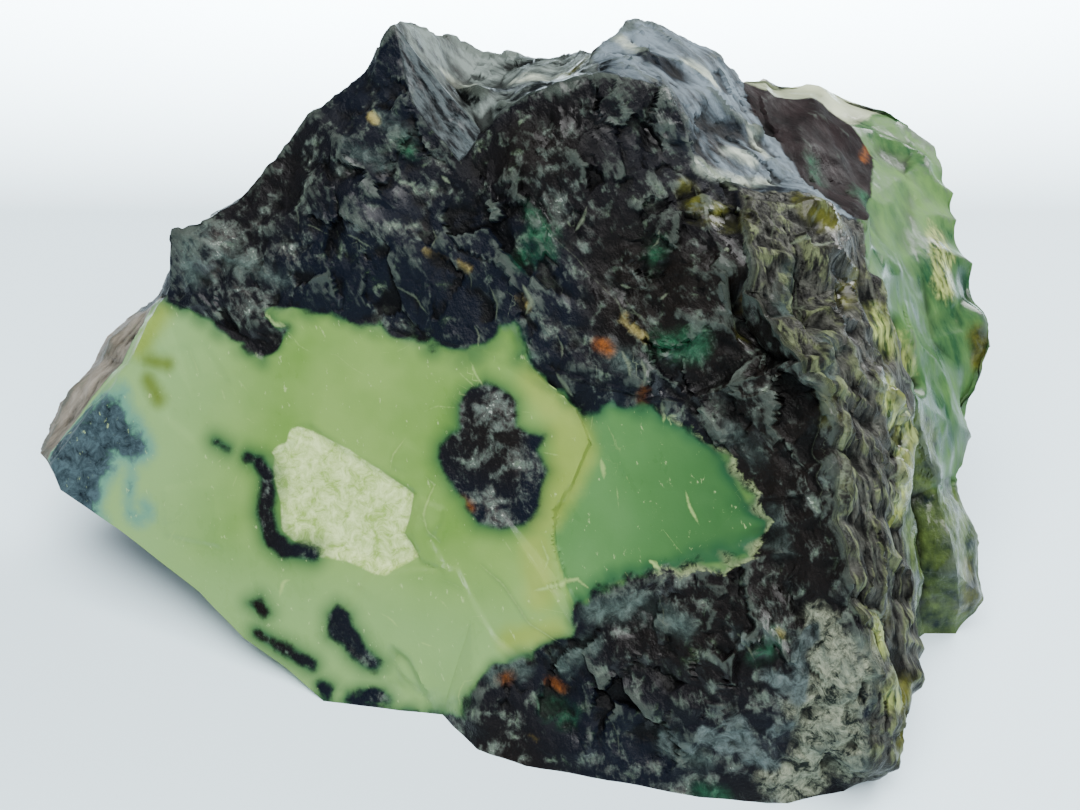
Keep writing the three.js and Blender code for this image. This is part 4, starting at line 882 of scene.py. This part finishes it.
# where the black is blue rather than brown, and how much pale speckle is in it: much on the left
# shoulder, little in the dark band above the window
bluish = smooth(0.5 + 0.9 * field(*(shell.T / 14), 101)
                + 0.6 * near_line(shell, (-20, 1, 38.5), (3, -5, 39), 9))
speck = 0.5 + 0.35 * field(*(shell.T / 6), 103) + 0.2 * field(*(shell.T / 2.3), 104)
speck += 0.45 * near_line(shell, (-34, 7, 38), (-22, 2, 36), 9)
speck -= 0.5 * near_line(shell, (-19, 1, 38.5), (-6, -3, 39), 5)
speck -= 0.35 * near_line(shell, (7, -31, 3), (19, -30, 12.4), 5)
in_blob = depth_inside(BLACK_PATCHES[0], level, uphill) - off_plane
speck += 0.3 * smooth(0.5 + in_blob) * smooth((14.5 - level) / 3)
bluish = np.maximum(bluish, smooth(1 + in_blob) * smooth((level - 11) / 2))
# the black reaches into the green in small round lobes
lobes = 1.8 * (bowls(*(shell.T / 2.4), 107) - 0.28) * smooth(1.6 - np.abs(in_window) / 2)
FIELDS = dict(
    green=np.minimum(in_window, -patches) + lobes - off_plane,
    panel=in_panel, scar=depth_inside(SCAR_EDGE, level, uphill),
    tip=np.maximum(depth_inside(TIP, level, uphill),
                   deepest(FACE_STROKES["tip"], on_plane)) - off_plane,
    yellow=deepest(FACE_STROKES["yellow"], on_plane) - off_plane,
    stain=deepest(FACE_STROKES["stain"], on_plane) - off_plane,
    rust=np.maximum(deepest(FACE_STROKES["rust"], on_plane) - off_plane, stroke_depth["rust"]),
    rims=rims, crest=crest, swell=swell, bluish=bluish, speck=speck,
    # the green is milkier to the left, and clearer and deeper to the right of the panel
    milky=np.maximum(smooth((-14 - level) / 18), 0.8 * smooth((-6 - uphill) / 12)),
    deep=smooth((level - 17) / 19),
    jade=stroke_depth["jade"] + 5 * field(*(shell.T / 8), 121) + 4 * field(*(shell.T / 3), 122),
    **{name: depth for name, depth in stroke_depth.items() if name not in ("rust", "jade")},
    **{"zone_" + name: FRAY_MM * (spread(zone[name], FRAY_ROUNDS) - 0.5)
       for name in PAINTED_ZONES},
)
for name, values in FIELDS.items():
    mesh.attributes.new(name, "FLOAT", "POINT").data.foreach_set("value", values)
for name, values in (("flow", flow), ("line", line)):
    mesh.attributes.new(name, "FLOAT_VECTOR", "POINT").data.foreach_set("vector", values.ravel())
print(len(FIELDS), "fields")

# %% [markdown]
# ## The material
# Serpentine is magnesium silicate with a waxy to greasy lustre and an IOR near 1.56. The eye
# reads it by three things: soft cloudy greens, a fine pale speckle in the black, and a gloss
# that comes and goes with the break. One material is built up in layers, as the rock is.

# %% A node at a time
serpentine = bpy.data.materials.new("raw_broken_serpentine")
serpentine.use_nodes = True
tree = serpentine.node_tree
shader = tree.nodes["Principled BSDF"]


def add(kind, sockets, out=0, **settings):
    """Adds a node; each socket, by name or number, gets a value or another node's output.

    Mix: 0 is the share, 2 and 3 are numbers, 6 and 7 are colours. MapRange: 0 is the value, 1 and
    2 are the ends it comes from, 3 and 4 the ends it goes to."""
    node = tree.nodes.new("ShaderNode" + kind)
    for name, value in settings.items():
        setattr(node, name, value)
    for name, value in sockets.items():
        if isinstance(value, bpy.types.NodeSocket):
            tree.links.new(value, node.inputs[name])
        else:
            node.inputs[name].default_value = value
    return node.outputs[out]


def linear(hex_colour):
    """An sRGB hex colour as linear red, green and blue."""
    srgb = np.array([int(hex_colour[i:i + 2], 16) / 255 for i in (1, 3, 5)])
    return (*np.where(srgb < 0.04045, srgb / 12.92, ((srgb + 0.055) / 1.055) ** 2.4), 1)


print("mid grey in linear light:", round(float(linear("#808080")[0]), 3))

# %% Patterns, each by its real size in millimetres
millimetres = add("VectorMath", {0: add("TexCoord", {}, "Object"), 1: (1000, 1000, 1000)},
                  operation="MULTIPLY")
fibre_place = add("VectorMath", {0: add("Attribute", {}, "Vector", attribute_name="flow"),
                                 1: (1, 1, 0.22)}, operation="MULTIPLY")
NOISES = dict(
    # place, size in mm, detail, roughness, distortion
    cloud=(millimetres, 9, 3, 0.5, 0), mottle=(millimetres, 2.6, 4, 0.6, 0),
    clot=(millimetres, 1.3, 5, 0.75, 0.6), grit=(millimetres, 0.4, 2, 0.7, 0),
    fibre=(fibre_place, 0.55, 3, 0.6, 0), strand=(fibre_place, 1.6, 4, 0.65, 0))
PATTERNS = {name: add("TexNoise", {"Vector": place, "Scale": 1 / size, "Detail": detail,
                                   "Roughness": rough_share, "Distortion": bend})
            for name, (place, size, detail, rough_share, bend) in NOISES.items()}
# broad patches that fray along the fibres
PATTERNS["folds"] = add("Math", {0: PATTERNS["strand"], 1: 0.9, 2: PATTERNS["cloud"]},
                        operation="MULTIPLY_ADD")
PATTERNS["folds"] = add("Math", {0: PATTERNS["folds"], 1: 1 / 1.9}, operation="MULTIPLY")
# what frays the borders: lumps of 2.6 mm with crumbs of 1.3 mm
PATTERNS["fray"] = add("Math", {0: PATTERNS["mottle"], 1: PATTERNS["clot"]})
PATTERNS["fray"] = add("Math", {0: PATTERNS["fray"], 1: 0.5}, operation="MULTIPLY")
print(len(PATTERNS), "patterns")

# %% [markdown]
# ## The black rock and what lies on it
# The rock could be one texture, but each part of a real one has its own colour, shine and grain.
# So a black ground is laid first, and over it one layer for each zone that isn't plain black, and
# for each kind of stroke. A layer shows where its field is above 0, and a noise of a few
# millimetres frays its border.

# %% Layers from the bottom up
# field, its offset in mm, ragged by mm, edge in mm, two colours, pattern between them,
# contrast of the pattern, roughness, height of the grain
LAYERS = [
    ("jade", 0, 5, 1.6, "#14301E", "#3A5630", "folds", 5, 0.42, 0.5),
    ("zone_end", 0, 2.5, 0.8, "#4A443A", "#8C857A", "strand", 3, 0.55, 0.5),
    ("zone_lobe", 0, 5, 1.0, "#101C1C", "#4C5C2E", "mottle", 3, 0.36, 0.5),
    ("zone_side", 2.8, 5, 1.0, "#183A26", "#4E6E3A", "folds", 4, 0.4, 0.1),
    ("zone_block", 2.8, 4, 0.8, "#5E6650", "#AEB698", "cloud", 3, 0.38, 0.2),
    ("zone_slope", 0, 4, 1.0, "#06090C", "#606C74", "folds", 7, 0.56, 0.5),
    ("navy", 0.2, 2.6, 0.8, "#020304", "#0C141C", "mottle", 3, 0.62, 0.4),
    ("zone_dip", 0, 4, 1.0, "#080B0C", "#66706C", "folds", 7, 0.54, 0.5),
    ("pale", -0.3, 2.4, 0.8, "#5E6A64", "#A9B1A0", "strand", 4, 0.45, 0.3),
    # the step is painted near black: partly its own dark brown, partly painted shade
    ("zone_step", 1.6, 4, 0.8, "#080506", "#1C1415", "mottle", 2.5, 0.7, 0.4),
    ("zone_plate", 0, 1.0, 0.4, "#0E1114", "#474F51", "fibre", 5, 0.5, 0.6),
    ("zone_flank", 0, 5, 1.2, "#080807", "#44453F", "fibre", 4, 0.5, 0.9),
    ("emerald", -0.6, 3.2, 1.6, "#0E2218", "#245A3E", "clot", 2.5, 0.44, 0.4),
    ("smear", -0.4, 3.0, 1.2, "#18211F", "#4A5854", "clot", 3, 0.55, 0.6),
    ("olive", -0.4, 2.6, 0.9, "#12130A", "#4C4E1C", "mottle", 4, 0.34, 0.3),
    ("lime", 0.1, 4.5, 0.8, "#2E3E1C", "#96A05C", "fibre", 4, 0.38, 0.4),
    ("crust", 0, 3.0, 0.8, "#161C19", "#7E8370", "clot", 5, 0.75, 1.0),
    ("lichen", 0, 2.6, 0.4, "#262E2D", "#545F5E", "clot", 4, 0.70, 0.3),
    ("ochre", -0.2, 2.6, 0.6, "#4A3C14", "#978C54", "mottle", 3, 0.5, 0.5),
    ("rust", -0.2, 1.8, 0.7, "#241208", "#7A4415", "clot", 3, 0.6, 0.6),
]
print(len(LAYERS), "layers on the black ground")

# %% Masks and tones


def layer_mask(name, shift, ragged, edge):
    """0 outside a field and 1 inside it: field plus ragged times (noise - 0.5), cut softly."""
    place = add("Math", {0: PATTERNS["fray"], 1: ragged, 2: shift - 0.5 * ragged},
                operation="MULTIPLY_ADD")
    depth = add("Math", {0: add("Attribute", {}, "Fac", attribute_name=name), 1: place})
    return add("MapRange", {0: depth, 1: -edge, 2: edge}, interpolation_type="SMOOTHSTEP")


def lay(mask, below, above):
    """Lays one colour over another by a mask; each is a hex colour or a node's output."""
    below, above = (linear(c) if isinstance(c, str) else c for c in (below, above))
    return add("Mix", {0: mask, 6: below, 7: above}, 2, data_type="RGBA")


def tone(dark, light, pattern="cloud", contrast=3):
    """A colour between two, by a pattern whose contrast is raised about its middle."""
    share = add("Math", {0: PATTERNS[pattern], 1: contrast, 2: 0.5 - 0.5 * contrast},
                operation="MULTIPLY_ADD", use_clamp=True)
    return lay(share, dark, light)


print("layers use", sorted({layer[6] for layer in LAYERS}))

# %% The ground, and the layers on it
# black ground: brown-black and blue-black, with a pale speckle where the chips are thin
attribute = {name: add("Attribute", {}, "Fac", attribute_name=name)
             for name in ("bluish", "speck", "rims", "crest", "swell", "green", "milky", "deep")}
ground = lay(attribute["bluish"], "#0E0B09", "#080D17")
threshold = add("Math", {0: attribute["speck"], 1: -0.17, 2: 0.64}, operation="MULTIPLY_ADD")
haze = add("Math", {0: PATTERNS["clot"], 1: PATTERNS["fibre"]})
haze = add("Math", {0: haze, 1: 0.5, 2: PATTERNS["mottle"]}, operation="MULTIPLY_ADD")
haze = add("Math", {0: haze, 1: 0.5}, operation="MULTIPLY")
haze = add("Math", {0: haze, 1: threshold}, operation="SUBTRACT")
haze = add("MapRange", {0: haze, 1: -0.05, 2: 0.11}, interpolation_type="SMOOTHSTEP")
colour = lay(haze, ground, tone("#3A3634", "#56605A", "clot", 4))
salt = add("Math", {0: PATTERNS["grit"], 1: haze, 2: -0.12}, operation="MULTIPLY_ADD")
salt = add("MapRange", {0: salt, 1: 0.42, 2: 0.52}, interpolation_type="SMOOTHSTEP")
colour = lay(salt, colour, "#8B928A")
# painted light: the rims of proud chips are painted paler
painted_rim_light = add("Math", {0: attribute["rims"], 1: PATTERNS["mottle"]}, operation="MULTIPLY")
painted_rim_light = add("MapRange", {0: painted_rim_light, 1: 0.42, 2: 0.7, 4: 0.6})
colour = lay(painted_rim_light, colour, "#66716A")
roughness, bumps = 0.48, 0.7   # of the black ground
for name, shift, ragged, edge, dark, light, pattern, contrast, rough_value, bump in LAYERS:
    mask = layer_mask(name, shift, ragged, edge)
    colour = lay(mask, colour, tone(dark, light, pattern, contrast))
    roughness = add("Mix", {0: mask, 2: roughness, 3: rough_value})
    bumps = add("Mix", {0: mask, 2: bumps, 3: bump})
print(len(tree.nodes), "nodes with the layers")

# %% Painted shade in the hollows, painted light on the crests
# painted shade darkens the hollows to near black; painted light lightens the crests, which are thin:
# they turn grey-green as if lit through, or olive and black by turns on the fibrous flank
form = add("Math", {0: attribute["swell"], 1: 0.4, 2: attribute["crest"]},
           operation="MULTIPLY_ADD")
painted_hollow_shade = add("MapRange", {0: form, 1: -0.03, 2: -0.22, 4: 0.85})
colour = lay(painted_hollow_shade, colour, "#050505")
# painted light on the crests, broken up by clots and fibres
painted_crest_light = add("Math", {0: PATTERNS["clot"], 1: 0.5, 2: form}, operation="MULTIPLY_ADD")
painted_crest_light = add("Math", {0: PATTERNS["fibre"], 1: 0.7, 2: painted_crest_light}, operation="MULTIPLY_ADD")
painted_crest_light = add("MapRange", {0: painted_crest_light, 1: 0.72, 2: 0.98, 4: 0.6}, interpolation_type="SMOOTHSTEP")
fibres = add("MapRange", {0: PATTERNS["fibre"], 1: 0.42, 2: 0.58})
flank_colour = lay(fibres, "#1A1A16", tone("#16140F", "#66704A", "folds", 12))
painted_crest_colour = lay(layer_mask("zone_flank", 0, 5, 1.2), "#424A44", flank_colour)
colour = lay(painted_crest_light, colour, painted_crest_colour)
print(len(tree.nodes), "nodes with the hollows and crests")

# %% [markdown]
# ## The green window
# Pure serpentine is waxy: light goes a little way in and comes back green, so it has hardly any
# grain. It is milky and yellow-green on the left, clear on the panel, and bluer where the black
# begins. Scattering inside the stone could give this too, but it renders slowly, so the colours
# do it.

# %% Green window: clear green near the black, waxy yellow-green further in
window_colour = lay(attribute["milky"], tone("#587A36", "#6E8C48"), "#74945C")
panel_colour = lay(attribute["deep"], tone("#466E3C", "#507846"), "#30562E")
window_colour = lay(layer_mask("panel", 0, 0.1, 0.15), window_colour, panel_colour)
window_colour = lay(layer_mask("yellow", 0, 1.5, 1.2), window_colour, tone("#6C8236", "#7E9046"))
chip_colour = tone("#7E9A4A", "#BFD090", "clot", 4)
window_colour = lay(layer_mask("scar", 0, 0.3, 0.15), window_colour, chip_colour)
# a darker, bluer rim along the black
near_black = add("MapRange", {0: attribute["green"], 1: 2.2, 2: -0.1, 4: 0.9})
near_black = add("Math", {0: near_black, 1: 1.6}, operation="POWER")
window_colour = lay(near_black, window_colour, "#123F2C")
window_colour = lay(layer_mask("stain", 0, 0.8, 0.9), window_colour, "#56692C")
window_colour = lay(layer_mask("tip", 0.3, 2.4, 1.0), window_colour, "#54806C")
tip_colour = tone("#0C131A", "#42545A", "clot")
window_colour = lay(layer_mask("tip", -1.0, 5.5, 0.6), window_colour, tip_colour)
# sparse pale nicks all over the flat face
nicks = add("MapRange", {0: PATTERNS["fibre"], 1: 0.66, 2: 0.74, 4: 0.5})
window_colour = lay(nicks, window_colour, "#A3B77C")
# pale crumbs cling to the border on the right
crumbs = add("MapRange", {0: attribute["green"], 1: -1.8, 2: -0.2})
for part in (attribute["deep"], PATTERNS["clot"], PATTERNS["mottle"]):
    crumbs = add("Math", {0: part, 1: crumbs}, operation="MULTIPLY")
crumbs = add("MapRange", {0: crumbs, 1: 0.15, 2: 0.24}, interpolation_type="SMOOTHSTEP")
colour = lay(crumbs, colour, tone("#2A3826", "#7E8A62", "clot", 4))
in_green = layer_mask("green", 0, 2.2, 0.4)
colour = lay(in_green, colour, window_colour)
roughness = add("Mix", {0: in_green, 2: roughness, 3: 0.42})
bumps = add("Mix", {0: in_green, 2: bumps, 3: 0.06})
print(len(tree.nodes), "nodes so far")

# %% Thin lines: pale marks of the stone, and painted light that makes flake edges pale, as light passing through them would
line_parts = add("SeparateXYZ", {0: add("Attribute", {}, "Vector", attribute_name="line")}).node
line_depth = add("Math", {0: line_parts.outputs["X"]}, operation="ABSOLUTE")
line_width = add("Math", {0: line_parts.outputs["Y"], 1: 0.8}, operation="MULTIPLY")
line_depth = add("Math", {0: line_width, 1: line_depth}, operation="SUBTRACT")
# grit and clots, by so many mm, break the lines up
for pattern, share in (("grit", -0.3), ("clot", -0.2)):
    line_depth = add("Math", {0: PATTERNS[pattern], 1: share, 2: line_depth},
                     operation="MULTIPLY_ADD")
line_mask = add("MapRange", {0: line_depth, 1: -0.24, 2: 0.04, 4: 0.85})
paleness = line_parts.outputs["Z"]
# the stone's pale marks, and painted light where flake edges are lightened
line_marks_and_edge_light = lay(in_green, lay(paleness, "#0A0908", "#6F7A66"),
                  lay(paleness, "#3A5C26", "#96AE68"))
colour = lay(line_mask, colour, line_marks_and_edge_light)
print(len(FACE_LINES) + len(SPACE_LINES), "lines laid over the rest")

# %% Shader and bump
SERPENTINE_IOR = 1.56
GRAIN_HEIGHT = 0.00022   # metres
# the gloss comes and goes in patches along the fibres
uneven_gloss = add("Math", {0: PATTERNS["folds"], 1: 1.6, 2: -0.8}, operation="MULTIPLY_ADD")
roughness = add("Math", {0: roughness, 1: uneven_gloss})
gloss = add("MapRange", {0: roughness, 1: 0.42, 2: 0.22, 3: 0.0, 4: 0.45})
grains = add("Math", {0: PATTERNS["grit"], 1: PATTERNS["fibre"]})
bump = add("Bump", {"Strength": bumps, "Distance": GRAIN_HEIGHT, "Height": grains})
tree.links.new(colour, shader.inputs["Base Color"])
tree.links.new(roughness, shader.inputs["Roughness"])
tree.links.new(bump, shader.inputs["Normal"])
shader.inputs["IOR"].default_value = SERPENTINE_IOR
# a broken surface scatters most of its shine; the glossy parts get theirs from the coat
shader.inputs["Specular IOR Level"].default_value = 0.07
tree.links.new(gloss, shader.inputs["Coat Weight"])
shader.inputs["Coat Roughness"].default_value = 0.16
mesh.materials.append(serpentine)
print(len(tree.nodes), "nodes")

# %% [markdown]
# ## The picture
# The camera stands close and looks down at the broad face, so that the perspective is as strong
# as a hand-held close-up's. A plain pale floor lies below. The light is soft and mostly from
# above, with a weaker one behind on the right that brings out the glossy side, and one in front.

# %% Camera
# the lens sees this many degrees to either side, from so many metres, and looks down by the tilt
HALF_VIEW, TILT, DISTANCE = np.radians(20), np.radians(35), 0.160
camera = bpy.data.objects.new("camera", bpy.data.cameras.new("camera"))
camera.data.sensor_width = 36
camera.data.lens = camera.data.sensor_width / 2 / np.tan(HALF_VIEW)
target = np.array([0.004, -0.0065, 0.027])
camera.location = target + DISTANCE * np.array([0, -np.cos(TILT), np.sin(TILT)])
camera.rotation_euler = (np.radians(90) - TILT, 0, 0)
camera.data.clip_start = 0.01
bpy.context.scene.collection.objects.link(camera)
bpy.context.scene.camera = camera
print("lens:", round(camera.data.lens, 1), "mm")

# %% Floor and light
floor_mesh = bpy.data.meshes.new("floor")
floor_mesh.from_pydata([(-3, -3, 0), (3, -3, 0), (3, 3, 0), (-3, 3, 0)], [], [(0, 1, 2, 3)])
floor = bpy.data.objects.new("floor", floor_mesh)
bpy.context.scene.collection.objects.link(floor)
# matt white board: it spreads the light without a shine, and is a little blue
board = bpy.data.materials.new("matt_white_board")
board.use_nodes = True
board.node_tree.nodes["Principled BSDF"].inputs["Base Color"].default_value = linear("#DDF3FD")
board.node_tree.nodes["Principled BSDF"].inputs["Roughness"].default_value = 0.8
floor_mesh.materials.append(board)

# weak, bluish light from the whole room fills the shadows
world = bpy.data.worlds.new("studio")
bpy.context.scene.world = world
world.use_nodes = True
world.node_tree.nodes["Background"].inputs["Color"].default_value = (0.86, 0.93, 1.0, 1)
world.node_tree.nodes["Background"].inputs["Strength"].default_value = 0.18


def soft_light(name, place, aim, size, watts):
    """A square area light that looks at a point."""
    lamp = bpy.data.objects.new(name, bpy.data.lights.new(name, "AREA"))
    lamp.data.shape, lamp.data.size, lamp.data.energy = "SQUARE", size, watts
    run = np.subtract(aim, place)
    lamp.location = place
    lamp.rotation_euler = (np.arctan2(np.hypot(run[0], run[1]), -run[2]), 0,
                           np.arctan2(run[1], run[0]) - np.pi / 2)
    bpy.context.scene.collection.objects.link(lamp)


soft_light("overhead_light", (-0.05, -0.15, 0.9), (0, 0, 0.03), 0.8, 18)
soft_light("window_light", (0.5, 0.4, 0.4), (0.03, 0.05, 0.02), 0.4, 8)
soft_light("front_light", (0.3, -0.55, 0.6), (0, 0, 0.03), 0.35, 5)
# it faces away from the stone and only brightens the far part of the floor
soft_light("floor_light", (0.0, 0.16, 0.3), (0.0, 0.8, 0.15), 0.2, 30)
